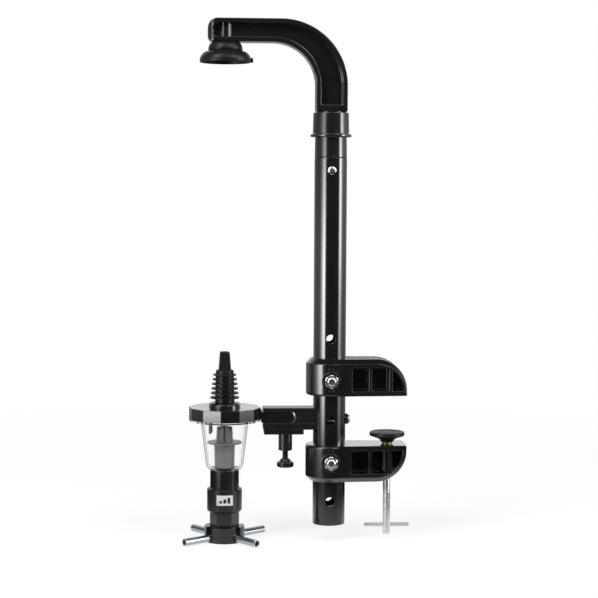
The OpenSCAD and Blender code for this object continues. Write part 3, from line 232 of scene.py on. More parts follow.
def finish(
    name,
    color,
    other=None,
    roughness=0.4,
    change=0.15,
    grain=2500.0,
    depth=0.00002,
    rubbed=0.0,
    rubbed_color=(0.05, 0.05, 0.052),
    dust=0.0,
    scratches=0.1,
    sockets=None,
):
    """A moulded, painted or plated finish. sockets sets the surface shader's own inputs."""
    material, build = new_material(name)
    grained = effect(build, GRAIN,
                     {"Grain": grain, "Depth": depth, "Roughness": roughness, "Change": change})
    second = other or [c * 1.3 for c in color]
    paint = build.mix(build.span(grained["Patches"], 0.35, 0.65), (*color, 1.0), (*second, 1.0))
    if rubbed:
        mask = effect(build, RUBBED, {"Amount": rubbed})["Mask"]
        paint = build.mix(mask, paint, (*rubbed_color, 1.0))
    if dust:
        paint = build.mix(effect(build, DUST, {"Amount": dust})["Mask"], paint,
                          (0.3, 0.3, 0.3, 1.0))
    scratched = effect(build, SCRATCHES, {"Amount": scratches})["Mask"]
    rough = build.plus(grained["Roughness"], scratched, clamp=True)
    shader = build.add("ShaderNodeBsdfPrincipled", sockets or {})
    build.feed(shader.inputs["Base Color"], paint)
    build.feed(shader.inputs["Roughness"], rough)
    build.feed(shader.inputs["Normal"], grained["Normal"])
    build.add("ShaderNodeOutputMaterial", {"Surface": shader.outputs["BSDF"]})
    return material


def clear_moulding(name, tint, edge_on_shade, roughness):
    """Clear plastic with painted shade where it is seen edge on, and open to light and shadow."""
    material, build = new_material(name)
    where = build.add("ShaderNodeTexCoord").outputs["Object"]
    haze = build.span(build.noise(where, 60.0, 3.0, 0.5), 0.3, 0.7, roughness, roughness * 2.5)
    wave = build.add(
        "ShaderNodeBump",
        {"Height": build.noise(where, 90.0, 1.0, 0.4), "Distance": 0.00004, "Strength": 1.0}
    )
    facing = build.add("ShaderNodeLayerWeight", {"Blend": 0.5}).outputs["Facing"]
    # Painted shade: the colour darkens towards the edge-on shade as the walls turn edge on
    paint = build.mix(build.span(facing, 0.5, 0.85), (*tint, 1.0), (*edge_on_shade, 1.0))
    body = build.add(
        "ShaderNodeBsdfPrincipled",
        {"Base Color": paint, "Transmission Weight": 1.0, "IOR": 1.2, "Roughness": haze,
         "Normal": wave.outputs["Normal"]},
    )
    through = build.add("ShaderNodeBsdfTransparent", {"Color": (*tint, 1.0)})
    path = build.add("ShaderNodeLightPath").outputs
    soft = build.math("MAXIMUM", path["Is Shadow Ray"], path["Is Diffuse Ray"])
    shader = build.add("ShaderNodeMixShader", {0: soft, 1: body.outputs[0], 2: through.outputs[0]})
    build.add("ShaderNodeOutputMaterial", {"Surface": shader.outputs[0]})
    return material


def coat(weight, roughness):
    """The surface shader's inputs for a clear coat."""
    return {"Coat Weight": weight, "Coat Roughness": roughness, "Coat IOR": 1.5}


MATERIALS = {
    "gloss_black": finish(
        "gloss_black_moulding", (0.0075, 0.0075, 0.008), roughness=0.24, change=0.12, grain=1400.0,
        depth=0.000006, rubbed=0.1, dust=0.01, scratches=0.04, sockets=coat(1.0, 0.04),
    ),
    "black_tube": finish(
        "black_painted_tube", (0.006, 0.006, 0.0065), roughness=0.2, change=0.1, grain=700.0,
        depth=0.000004, rubbed=0.05, dust=0.01, scratches=0.05,
        sockets=coat(1.0, 0.06),
    ),
    "soft_black": finish(
        "satin_black_moulding", (0.009, 0.009, 0.0095), roughness=0.3, change=0.16, grain=2600.0,
        depth=0.000012, rubbed=0.15, dust=0.02, scratches=0.1,
        sockets=coat(0.4, 0.14),
    ),
    "black_rubber": finish(
        "dull_black_rubber", (0.0105, 0.0105, 0.011), roughness=0.36, change=0.16, grain=3200.0,
        depth=0.000014, rubbed=0.1, dust=0.02, scratches=0.08, sockets={"Specular IOR Level": 0.28},
    ),
    "zinc": finish(
        "bright_zinc_plate", (0.84, 0.85, 0.86), (0.77, 0.78, 0.80), roughness=0.28, change=0.25,
        grain=1800.0, depth=0.00002, rubbed=0.3, rubbed_color=(0.85, 0.85, 0.84), scratches=0.2,
        sockets={"Metallic": 1.0},
    ),
    "chrome": finish(
        "polished_chrome", (0.52, 0.56, 0.63), (0.48, 0.52, 0.60), roughness=0.2, change=0.06,
        grain=900.0, depth=0.000003, scratches=0.12, sockets={"Metallic": 1.0},
    ),
    "brass": finish(
        "yellow_passivated_zinc", (0.50, 0.42, 0.13), (0.40, 0.35, 0.15), roughness=0.32,
        change=0.2,
        grain=1600.0, depth=0.00002, scratches=0.15, sockets={"Metallic": 0.8},
    ),
    "grey_plastic": finish(
        "mid_grey_moulding", (0.15, 0.15, 0.16), (0.175, 0.175, 0.185), roughness=0.33, change=0.15,
        grain=2200.0, depth=0.00002, scratches=0.1,
    ),
    "white_label": finish(
        "white_label_film", (0.84, 0.84, 0.83), (0.80, 0.80, 0.79), roughness=0.45, change=0.1,
        grain=5200.0, depth=0.00001, scratches=0.05,
    ),
    # Its second colour is painted shade for the walls seen edge on
    "clear_plastic": clear_moulding("clear_moulding", (0.975, 0.98, 0.985), (0.13, 0.135, 0.14),
                                    0.015),
}

# ---------------------------------------------------------------- outlines and skins


def arc(x, z, radius, start, end, steps=8):
    """Points of an arc between two angles, in degrees."""
    angles = [math.radians(start + (end - start) * k / steps) for k in range(steps + 1)]
    return [(x + radius * math.cos(a), z + radius * math.sin(a)) for a in angles]


def rounded(corners, steps=4):
    """A closed outline from (x, z, corner radius) corners."""
    loop = []
    for index, (x, z, radius) in enumerate(corners):
        here = Vector((x, z))
        to_last = Vector(corners[index - 1][:2]) - here
        to_next = Vector(corners[(index + 1) % len(corners)][:2]) - here
        if radius <= 0:
            loop.append((x, z))
            continue
        half = to_last.angle(to_next) / 2
        reach = min(radius / math.tan(half), 0.49 * to_last.length, 0.49 * to_next.length)
        radius = reach * math.tan(half)
        across = (to_last.normalized() + to_next.normalized()).normalized()
        centre = here + across * (radius / math.sin(half))
        first = here + to_last.normalized() * reach - centre
        last = here + to_next.normalized() * reach - centre
        begin = math.atan2(first.y, first.x)
        turn = (math.atan2(last.y, last.x) - begin + math.pi) % (2 * math.pi) - math.pi
        for k in range(steps + 1):
            a = begin + turn * k / steps
            loop.append((centre.x + radius * math.cos(a), centre.y + radius * math.sin(a)))
    return loop


def inward(loop):
    """For each point of a closed outline, the step inwards that insets its sides by 1."""
    area = sum(a[0] * b[1] - b[0] * a[1] for a, b in zip(loop, loop[1:] + loop[:1]))
    sign = 1 if area > 0 else -1
    steps = []
    for index, point in enumerate(loop):
        sides = []
        for a, b in ((loop[index - 1], point), (point, loop[(index + 1) % len(loop)])):
            along = Vector((b[0] - a[0], b[1] - a[1])).normalized()
            sides.append(Vector((-along.y, along.x)) * sign)
        steps.append((sides[0] + sides[1]) / max(1 + sides[0].dot(sides[1]), 0.3))
    return steps


def inset(loop, distance):
    return [(p[0] + n.x * distance, p[1] + n.y * distance) for p, n in zip(loop, inward(loop))]


def skin(name, bm):
    """An object made of a bmesh in millimetres, merged and with its normals outwards."""
    bmesh.ops.remove_doubles(bm, verts=bm.verts, dist=0.0005)
    bmesh.ops.dissolve_degenerate(bm, edges=bm.edges, dist=0.0002)
    bmesh.ops.delete(bm, geom=[e for e in bm.edges if not e.link_faces], context="EDGES")
    bmesh.ops.recalc_face_normals(bm, faces=bm.faces)
    bmesh.ops.scale(bm, vec=(MM, MM, MM), verts=bm.verts)
    mesh = bpy.data.meshes.new(name)
    bm.to_mesh(mesh)
    bm.free()
    piece = bpy.data.objects.new(name, mesh)
    bpy.context.scene.collection.objects.link(piece)
    return piece


def wrap(bm, rings, closed=False, caps=True):
    """Joins rings of points, each of the same count, by strips of faces."""
    made = [[bm.verts.new(p) for p in ring] for ring in rings]
    pairs = list(zip(made, made[1:])) + ([(made[-1], made[0])] if closed else [])
    for low, high in pairs:
        for k in range(len(low)):
            n = (k + 1) % len(low)
            bm.faces.new((low[k], low[n], high[n], high[k]))
    if caps and not closed:
        bm.faces.new(made[0])
        bm.faces.new(made[-1])
    return made


TOWARD = {
    "Z": Matrix(),
    "X": Matrix.Rotation(math.pi / 2, 4, "Y"),
    "Y": Matrix.Rotation(-math.pi / 2, 4, "X"),
    "-Y": Matrix.Rotation(math.pi / 2, 4, "X"),
}
# A flat outline of (x, z) points stands upright, and its thickness runs along Y
UPRIGHT = Matrix(((1, 0, 0, 0), (0, 0, -1, 0), (0, 1, 0, 0), (0, 0, 0, 1)))


def at(x=0.0, y=0.0, z=0.0, toward="Z", turn=0.0):
    """Where a shape stands: its own z axis points toward that axis, turned about it in degrees."""
    return Matrix.Translation((x, y, z)) @ TOWARD[toward] @ Matrix.Rotation(math.radians(turn), 4,
                                                                            "Z")


def lathe(name, outline, where, segments=96):
    """Turns a closed outline of (radius, height) points about the shape's own z axis."""
    bm = bmesh.new()
    angles = [2 * math.pi * k / segments for k in range(segments)]
    rings = [[where @ Vector((r * math.cos(a), r * math.sin(a), z)) for a in angles] for r,
             z in outline]
    wrap(bm, rings, closed=True)
    return skin(name, bm)


def edge_profile(edge, steps=3):
    """(inset, drop) pairs of a rounded edge, from the flat face to the side."""
    angles = [math.pi / 2 * k / steps for k in range(steps + 1)]
    return [(edge * (1 - math.sin(a)), edge * (1 - math.cos(a))) for a in angles]


def prism(name, loop, low, high, where, edge=0.4, top_edge=None):
    """A flat outline made thick along the shape's own z axis, with rounded edges."""
    bm = bmesh.new()
    top_edge = edge if top_edge is None else top_edge
    rings = [(inset_by, low + drop) for inset_by, drop in edge_profile(edge)]
    rings += [(inset_by, high - drop) for inset_by, drop in reversed(edge_profile(top_edge))]
    flat = [[Vector((p[0], p[1], z)) for p in inset(loop, inset_by)] for inset_by, z in rings]
    wrap(bm, [[where @ p for p in ring] for ring in flat])
    return skin(name, bm)


def block(name, low, high, edge=0.4, corner=0.6):
    """A box between two corners with rounded edges."""
    (x0, y0, z0), (x1, y1, z1) = low, high
    loop = rounded([(x0, y0, corner), (x1, y0, corner), (x1, y1, corner), (x0, y1, corner)])
    return prism(name, loop, z0, z1, at(), edge)


def applied(piece):
    """Turns a piece with modifiers into a plain mesh."""
    graph = bpy.context.evaluated_depsgraph_get()
    mesh = bpy.data.meshes.new_from_object(piece.evaluated_get(graph))
    piece.modifiers.clear()
    piece.data = mesh
    return piece


def cut(piece, *tools):
    """Cuts tools out of a piece and throws the tools away."""
    for tool in tools:
        change = piece.modifiers.new("cut", "BOOLEAN")
        change.operation = "DIFFERENCE"
        change.solver = "EXACT"
        change.object = tool
    applied(piece)
    for tool in tools:
        bpy.data.objects.remove(tool)
    return piece


def join(piece, *others):
    """Puts other pieces' meshes into this one."""
    bm = bmesh.new()
    for source in (piece, *others):
        bm.from_mesh(source.data)
    mesh = bpy.data.meshes.new(piece.name)
    bm.to_mesh(mesh)
    bm.free()
    piece.data = mesh
    for other in others:
        bpy.data.objects.remove(other)
    return piece


def smooth(piece, angle=40.0):
    """Smooth faces whose flats stay flat, with the sharper edges kept."""
    piece.data.shade_smooth()
    piece.data.set_sharp_from_angle(angle=math.radians(angle))
    weigh = piece.modifiers.new("weigh", "WEIGHTED_NORMAL")
    weigh.keep_sharp = True
    weigh.weight = 60
    return applied(piece)


def place(piece, node, slot=None, angle=40.0):
    """Gives a piece its finish and the body of the CAD node it belongs to."""
    slot = slot or SLOT_OF[node]
    smooth(piece, angle)
    if not piece.data.materials:
        piece.data.materials.append(MATERIALS[slot])
    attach(piece, BODY_OF[node])
    return piece


def stands_for(piece, node, angle=40.0):
    """Places a piece and shows it in the CAD node's stead."""
    place(piece, node, angle=angle)
    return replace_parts(piece, node)


def turned(node, outline, where, segments=96):
    """A turned piece, shown in the CAD node's stead."""
    return stands_for(lathe(node + "_skin", outline, where, segments), node)


# ---------------------------------------------------------------- geometry trees


def geometry_tree(name, sizes):
    """A geometry tree with its named size inputs."""
    sockets = [(label, "Int" if isinstance(value, int) else "Float", value) for label,
               value in sizes.items()]
    return new_tree(name, "GeometryNodeTree", sockets, [("Geometry", "Geometry", None)])


def close_tree(build, out, geometry, material):
    """Ends a tree: instances made real, then the finish."""
    real = build.add("GeometryNodeRealizeInstances", {0: geometry}).outputs[0]
    painted = build.add("GeometryNodeSetMaterial", {"Geometry": real, "Material": material})
    build.feed(out["Geometry"], painted.outputs[0])
    return build.tree


def wound_wire(material):
    """A wire wound into a helix that rises from z = 0. Few sides make a thread's ridge."""
    start = {"Coil radius": 0.01, "Wire radius": 0.001, "Turns": 8.0, "Rise": 0.05, "Steps": 36,
             "Sides": 10}
    build, given, out = geometry_tree("wound_wire", start)
    spiral = build.add(
        "GeometryNodeCurveSpiral",
        {"Resolution": given["Steps"], "Rotations": given["Turns"],
         "Start Radius": given["Coil radius"],
         "End Radius": given["Coil radius"], "Height": given["Rise"]},
    ).outputs[0]
    upward = build.add("GeometryNodeSetCurveNormal", {"Curve": spiral}, mode="Z_UP").outputs[0]
    section = build.add(
        "GeometryNodeCurvePrimitiveCircle",
        {"Resolution": given["Sides"], "Radius": given["Wire radius"]}
    ).outputs[0]
    wire = build.add(
        "GeometryNodeCurveToMesh", {"Curve": upward, "Profile Curve": section, "Fill Caps": True}
    ).outputs[0]
    return close_tree(build, out, wire, material)


def ring_of_pieces(name, pattern, material):
    """Stands a pattern piece, which points along +X, several times round the z axis."""
    build, given, out = geometry_tree(name, {"Count": 4, "First turn": 0.0})
    circle = build.add("GeometryNodeMeshCircle",
                       {"Vertices": given["Count"], "Radius": 0.0}).outputs[0]
    points = build.add("GeometryNodeMeshToPoints", {"Mesh": circle}).outputs[0]
    index = build.add("GeometryNodeInputIndex").outputs[0]
    share = build.math("DIVIDE", build.times(index, 2 * math.pi), given["Count"])
    turn = build.plus(share, given["First turn"])
    rotation = build.add("ShaderNodeCombineXYZ", {"Z": turn}).outputs[0]
    info = build.add("GeometryNodeObjectInfo", {"Object": pattern}, transform_space="ORIGINAL")
    copies = build.add(
        "GeometryNodeInstanceOnPoints",
        {"Points": points, "Instance": info.outputs["Geometry"], "Rotation": rotation},
    ).outputs[0]
    return close_tree(build, out, copies, material)


def finned_stopper(material):
    """The stopper by its rule: a tapered core with evenly spaced fins that shrink upwards."""
    start = {
        "Core foot": 0.0095, "Core top": 0.00875, "Height": 0.0323, "Foot": 0.002, "Fins": 6,
        "Pitch": 0.0045,
        "First fin": 0.0046, "Low fin": 0.0143, "Top fin": 0.0113, "Edge": 0.0006, "Root": 0.00115,
        "Bore": 0.0041, "End round": 0.0012, "Around": 96, "Rows": 240,
    }
    build, given, out = geometry_tree("finned_stopper", start)
    grid = build.add(
        "GeometryNodeMeshGrid",
        {"Size X": 1.0, "Size Y": 1.0, "Vertices X": given["Around"], "Vertices Y": given["Rows"]},
    ).outputs["Mesh"]
    spot = build.add("ShaderNodeSeparateXYZ",
                     {0: build.add("GeometryNodeInputPosition").outputs[0]}).outputs
    around = build.span(spot["X"], -0.5, 0.5, 0.0, 2 * math.pi)
    # The first and last rows close the skin along the bore
    row = build.math("DIVIDE", 1.0, build.minus(given["Rows"], 1.0))
    upper = build.minus(0.5, row)
    low = build.times(given["Foot"], -1.0)
    height = build.span(spot["Y"], build.times(upper, -1.0), upper, low, given["Height"])
    core = build.span(height, 0.0, given["Height"], given["Core foot"], given["Core top"])
    steps_up = build.math("DIVIDE", build.minus(height, given["First fin"]), given["Pitch"])
    last = build.minus(given["Fins"], 1.0)
    nearest = build.math("MINIMUM", build.math("MAXIMUM", build.math("ROUND", steps_up), 0.0), last)
    fin = build.span(nearest, 0.0, last, given["Low fin"], given["Top fin"])
    middle = build.plus(given["First fin"], build.times(nearest, given["Pitch"]))
    off = build.math("ABSOLUTE", build.minus(height, middle))
    finned = build.span(off, given["Edge"], given["Root"], fin, core, "SMOOTHSTEP")
    shoulder = build.minus(given["Height"], given["End round"])
    closing = build.span(height, shoulder, given["Height"], 0.0, 1.0)
    fall = build.minus(1.0, build.math("POWER", closing, 2.0))
    bent = build.minus(1.0, build.math("SQRT", fall))
    into = build.minus(given["Bore"], finned)
    skin_radius = build.plus(finned, build.times(bent, into))
    edge_row = build.math("GREATER_THAN", build.math("ABSOLUTE", spot["Y"]), 0.4999)
    radius = build.span(edge_row, 0.0, 1.0, skin_radius, given["Bore"])
    level = build.span(edge_row, 0.0, 1.0, height, low)
    x = build.times(radius, build.math("COSINE", around))
    y = build.times(radius, build.math("SINE", around))
    position = build.add("ShaderNodeCombineXYZ", {"X": x, "Y": y, "Z": level}).outputs[0]
    moved = build.add("GeometryNodeSetPosition",
                      {"Geometry": grid, "Position": position}).outputs[0]
    whole = build.add("GeometryNodeMergeByDistance",
                      {"Geometry": moved, "Distance": 0.000002}).outputs[0]
    return close_tree(build, out, whole, material)


def grown(name, tree, **sizes):
    """A plain mesh from a geometry tree. Sizes are set by socket, before it is first evaluated."""
    piece = bpy.data.objects.new(name, bpy.data.meshes.new(name))
    bpy.context.scene.collection.objects.link(piece)
    shape = piece.modifiers.new("shape", "NODES")
    shape.node_group = tree
    for socket in tree.interface.items_tree:
        label = socket.name.replace(" ", "_").lower()
        if socket.item_type == "SOCKET" and socket.in_out == "INPUT" and label in sizes:
            shape[socket.identifier] = sizes[label]
    return applied(piece)


def moved(piece, where):
    """Moves a piece's mesh, which is in metres, to a place in millimetres."""
    matrix = where.copy()
    matrix.translation = where.translation * MM
    piece.data.transform(matrix)
    return piece


WIRE = wound_wire(MATERIALS["zinc"])


def thread_ridge(name, radius, pitch, low, high, where, slot):
    """The ridge of a screw thread from low to high along the shape's own z axis."""
    ridge = grown(
        name, WIRE, coil_radius=(radius - 0.46 * pitch) * MM, wire_radius=0.45 * pitch * MM,
        turns=(high - low) / pitch, rise=(high - low) * MM, steps=40, sides=4,
    )
    ridge.data.materials[0] = MATERIALS[slot]
    return moved(ridge, where @ Matrix.Translation((0, 0, low)))


# ---------------------------------------------------------------- column and bush

TUBE_R = 15.9
TUBE_BORE_R = 14.4
TUBE_FOOT = -128.4
TUBE_TOP = 232.2
CROSS_HOLES = (-104.5, -64.5, -24.5, 15.5, 55.5)
CROSS_HOLE_R = 4.5
FLANGE_Z = 252.2
COLLAR_Z = 255.1
COLLAR_TOP = 276.0
BUSH_SCREW_Z = 219.5
SPIGOT_FOOT = 207.2


def drill(r, low, high, where, segments=48):
    """A plain cylinder to cut with."""
    return lathe("drill", [(0.0, low), (r, low), (r, high), (0.0, high)], where, segments)


def column_tube():
    edge = 0.5
    outline = rounded([
        (TUBE_BORE_R, TUBE_FOOT, edge), (TUBE_R, TUBE_FOOT, edge), (TUBE_R, TUBE_TOP, edge),
        (TUBE_BORE_R, TUBE_TOP, edge),
    ])
    tube = lathe("column_tube_skin", outline, at(COLUMN_X), 128)
    holes = [drill(CROSS_HOLE_R, -20, 20, at(COLUMN_X, 0, z, "Y")) for z in CROSS_HOLES]
    holes.append(drill(3.1, -20, 20, at(COLUMN_X, 0, CROSS_HOLES[2], "X"), 32))
    holes.append(drill(2.1, 0, 20, at(COLUMN_X, 0, BUSH_SCREW_Z, "-Y"), 32))
    stands_for(cut(tube, *holes), "column_tube", angle=50.0)


def column_bush():
    """Neck, flange and the slightly tapered collar, with the seam where the tube ends."""
    outline = rounded([
        (9.55, SPIGOT_FOOT, 0.3), (14.3, SPIGOT_FOOT, 1.0), (14.3, TUBE_TOP, 0),
        (15.3, TUBE_TOP + 0.1, 0),
        (15.75, TUBE_TOP + 0.5, 0.3), (15.5, FLANGE_Z, 0.5), (20.0, FLANGE_Z, 0.7),
        (20.0, COLLAR_Z, 0.9),
        (17.8, COLLAR_Z, 0.5), (17.3, COLLAR_TOP, 0.9), (14.0, COLLAR_TOP, 0.6),
        (14.0, COLLAR_TOP - 14, 0.4),
        (9.55, COLLAR_TOP - 14, 0.4),
    ])
    bush = lathe("column_bush_skin", outline, at(COLUMN_X), 128)
    # The nib that keys the bush into the tube's mouth
    nib = block("nib", (COLUMN_X + 0.4, -16.0, TUBE_TOP - 0.2),
                (COLUMN_X + 1.8, -15.0, TUBE_TOP + 2.2), 0.2, 0.3)
    stands_for(join(bush, nib), "column_bush")


def pan_head(name, radius, height, where):
    outline = [(0.0, -0.2), (radius - 0.3, -0.2), (radius, 0.1)]
    outline += [(radius * math.cos(a), height * (0.35 + 0.65 * math.sin(a)))
                for a in [math.radians(10 * k) for k in range(1, 9)]]
    outline.append((0.0, height))
    return lathe(name, outline, where, 64)


def bush_screw():
    """A pan head with a cross recess, on its shank."""
    where = at(COLUMN_X, -TUBE_R, BUSH_SCREW_Z, "-Y", 20)
    head = pan_head("bush_screw_skin", 4.25, 2.4, where)
    half = 0.45
    arms = []
    for turn in (0, 90):
        loop = [(-2.3, -half), (2.3, -half), (2.3, half), (-2.3, half)]
        arms.append(prism("slot", loop, 1.0, 3.2,
                          where @ Matrix.Rotation(math.radians(turn), 4, "Z"), 0))
    cut(head, *arms)
    shank = lathe("shank", [(0.0, -5.5), (2.0, -5.5), (2.0, 0.0), (0.0, 0.0)], where, 32)
    stands_for(join(head, shank), "bush_screw")


# ---------------------------------------------------------------- swan neck

BEAM_LOW = 343.1
BEAM_TOP = 365.6
BEND_Z = 301.1
OUTER_R = 64.5
INNER_R = 41.6
LEG_OUT = 15.5
LEG_W = 30.7
NECK_HALF = 11.0
NECK_WEB = 3.0
NECK_RIM = 4.6
NECK_FOOT = 7.0
BEAM_END = -120.3
END_PLAN_R = 8.0
END_TOP_R = 9.5
END_LOW_R = 5.5
PIP_X = -136.8
PIP_HEIGHTS = (359.2, 352.6)


def neck_outline(in_by):
    """The side view of the neck, drawn in by in_by, with the foot rising faster than the sides."""
    rise = in_by * NECK_FOOT / NECK_RIM if in_by < NECK_RIM else NECK_FOOT + in_by - NECK_RIM
    foot = COLLAR_TOP + rise
    foot_r = 2.4 if in_by < NECK_RIM / 2 else 1.4
    right = LEG_OUT - in_by
    left = LEG_OUT - LEG_W + in_by
    x_out = LEG_OUT - OUTER_R
    x_in = LEG_OUT - LEG_W - INNER_R
    top_r = END_TOP_R - in_by / 2
    low_r = END_LOW_R - in_by / 2
    end = BEAM_END + in_by
    loop = arc(right - foot_r, foot + foot_r, foot_r, -90, 0, 5)
    loop += [(right, foot + (BEND_Z - foot) * k / 4) for k in (1, 2, 3)]
    loop += arc(x_out, BEND_Z, OUTER_R - in_by, 0, 90, 40)
    run = end + top_r
    loop += [(x_out + (run - x_out) * k / 5, BEAM_TOP - in_by) for k in (1, 2, 3, 4)]
    loop += arc(run, BEAM_TOP - in_by - top_r, top_r, 90, 180, 12)
    loop += arc(end + low_r, BEAM_LOW + in_by + low_r, low_r, 180, 270, 10)
    loop += [(end + low_r + (x_in - end - low_r) * k / 5, BEAM_LOW + in_by) for k in (1, 2, 3, 4)]
    loop += arc(x_in, BEAM_LOW - INNER_R, INNER_R + in_by, 90, 0, 40)
    loop += arc(left + foot_r, foot + foot_r, foot_r, 180, 270, 5)
    return loop


def neck_half_depth(x):
    """Half the neck's depth, which rounds off towards the beam's end."""
    along = x - BEAM_END
    if along >= END_PLAN_R:
        return NECK_HALF
    return NECK_HALF - END_PLAN_R + math.sqrt(max(END_PLAN_R**2 - (END_PLAN_R - along) ** 2, 0.0))


def swan_neck():
    """An I-section moulding swept round the bend: a rim, and a panel sunk to a web on each side."""
    edge, lip, draft, fillet = 0.9, 0.5, 0.35, 0.8
    profile = edge_profile(edge, 4)[::-1]
    profile += [(i, 0.0) for i in (1.6, 2.6, NECK_RIM - 1.2)]
    profile += [(NECK_RIM - lip + lip * math.sin(a), lip * (1 - math.cos(a)))
                for a in [math.radians(t) for t in (0, 30, 60, 90)]]
    rings = [[(x, neck_half_depth(x) - drop, z) for x, z in neck_outline(i)] for i, drop in profile]
    deep = [(NECK_RIM + draft, fillet), (NECK_RIM + draft + fillet * 0.3, fillet * 0.3),
            (NECK_RIM + draft + fillet, 0.0)]
    rings += [[(x, NECK_WEB + above, z) for x, z in neck_outline(i)] for i, above in deep]
    front = [[Vector((COLUMN_X + x, -y, z)) for x, y, z in ring] for ring in reversed(rings)]
    back = [[Vector((COLUMN_X + x, y, z)) for x, y, z in ring] for ring in rings]
    bm = bmesh.new()
    wrap(bm, front + back)
    neck = skin("swan_neck_skin", bm)
    low, high = BEAM_LOW + NECK_RIM - 0.8, BEAM_TOP - NECK_RIM + 0.8
    boss = lathe("boss", rounded([(0, low, 0), (6.2, low, 0), (6.2, high, 0), (0, high, 0)]),
                 at(OPTIC_X), 64)
    extra = [boss]
    for z in PIP_HEIGHTS:
        for side, toward in ((-1, "-Y"), (1, "Y")):
            pip = rounded([(0, -0.5, 0), (1.3, -0.5, 0), (1.3, 0.35, 0.2), (0, 0.35, 0)])
            extra.append(lathe("pip", pip, at(PIP_X, side * NECK_WEB, z, toward), 24))
    plug = rounded([(9.6, COLLAR_TOP - 12, 0.3), (13.7, COLLAR_TOP - 12, 0.6),
                    (13.7, COLLAR_TOP + 0.6, 0),
                    (9.6, COLLAR_TOP + 0.6, 0)])
    extra.append(lathe("plug", plug, at(COLUMN_X), 96))
    stands_for(join(neck, *extra), "swan_neck", angle=50.0)


# ---------------------------------------------------------------- bottle cup

CUP_LOW = 323.4
DOME_LOW = 334.5
CUP_CEILING = 331.3
CUP_BORE_R = 3.05


def bottle_cup():
    """A soft two-step cup, hollow below, with a small moulded tab."""
    rim_r, waist_r, dome_r, dome_top_r = 24.9, 15.8, 16.7, 12.4
    outline = [(CUP_BORE_R, CUP_CEILING), (17.2, CUP_CEILING), (21.0, CUP_LOW + 4.2),
               (21.6, CUP_LOW + 3.0), (21.7, CUP_LOW + 0.5),
               (22.0, CUP_LOW + 0.05), (24.2, CUP_LOW), (24.7, CUP_LOW + 0.2),
               (rim_r, CUP_LOW + 0.7)]
    outline += [(waist_r + (rim_r - waist_r) * math.cos(a), CUP_LOW + 2.2 + 8.9 * math.sin(a))
                for a in [math.radians(5 * k) for k in range(0, 18)]]
    outline += [(waist_r + 0.15, DOME_LOW + 0.05), (dome_r - 0.5, DOME_LOW + 0.35),
                (dome_r, DOME_LOW + 1.1)]
    outline += [(dome_top_r + (dome_r - dome_top_r) * math.cos(a),
                 DOME_LOW + 1.1 + 7.4 * math.sin(a))
                for a in [math.radians(9 * k) for k in range(1, 11)]]
    outline += [(CUP_BORE_R, BEAM_LOW - 0.1)]
    cup = lathe("bottle_cup_skin", outline, at(OPTIC_X), 128)
    tab = block("tab", (OPTIC_X + 23.2, -1.5, CUP_LOW + 0.1), (OPTIC_X + 26.8, 1.5, CUP_LOW + 4.6),
                0.4, 0.6)
    stands_for(join(cup, tab), "bottle_cup")


# ---------------------------------------------------------------- jaws

JAW_H = 36.0
JAW_REACH = 75.0
JAW_ROOT = 22.2
JAW_TIP = 18.0
JAW_WEB = 3.0
RING_R = 23.2
RING_BORE = 16.0
BOLT_RISE = 15.5
SEAT_Y = 23.6
LOWER_JAW_TOP = -49.0


def jaw_half(x):
    return JAW_ROOT + (JAW_TIP - JAW_ROOT) * x / JAW_REACH


def jaw_outline():
    """The arm's side view as (x, z), with the share of the bevel that each point has."""
    bend = 30.0
    path = [(0.0, 0.0, 0.12), (25.0, 0.0, 0.12), (50.0, 0.0, 0.12)]
    path += [(x, z, 0.12) for x, z in arc(JAW_REACH - 1.2, 1.2, 1.2, -90, 0, 4)]
    path.append((JAW_REACH, 4.0, 0.3))
    for k in range(25):
        a = math.radians(90 * k / 24)
        x, z = JAW_REACH - bend + bend * math.cos(a), 6.0 + bend * math.sin(a)
        path.append((x, z, 0.3 + 0.7 * math.sin(a)))
    path += [(x, JAW_H, 1.0) for x in (35.0, 25.0, 12.0, 0.0)]
    return path


def jaw_pockets():
    """The three side pockets: two upright ones, and one that follows the round of the tip."""
    # With walls at 55.8 and 58.8, the cut for the clamp screw lost the lower jaw's arm
    low, top, corner = 4.8, 27.6, 1.5
    pockets = []
    for start, end in ((20.9, 37.1), (40.3, 57.1)):
        pockets.append(rounded([(start, low, corner), (end, low, corner), (end, top, corner),
                                (start, top, corner)]))
    bow_r, bow_x, bow_z = 26.4, 45.0, 4.0
    start, end = 60.7, JAW_REACH - 3.6
    begin = math.degrees(math.asin((low + 1.2 - bow_z) / bow_r))
    finish_at = math.degrees(math.acos((start + 0.8 - bow_x) / bow_r))
    last = [(start, low, 1.2), (end - 0.05, low, 1.0)]
    last += [(x, z, 0.0) for x, z in arc(bow_x, bow_z, bow_r, begin, finish_at, 12)]
    last.append((start, bow_z + math.sqrt(bow_r**2 - (start - bow_x) ** 2) - 0.6, 0.5))
    pockets.append(rounded(last))
    return pockets


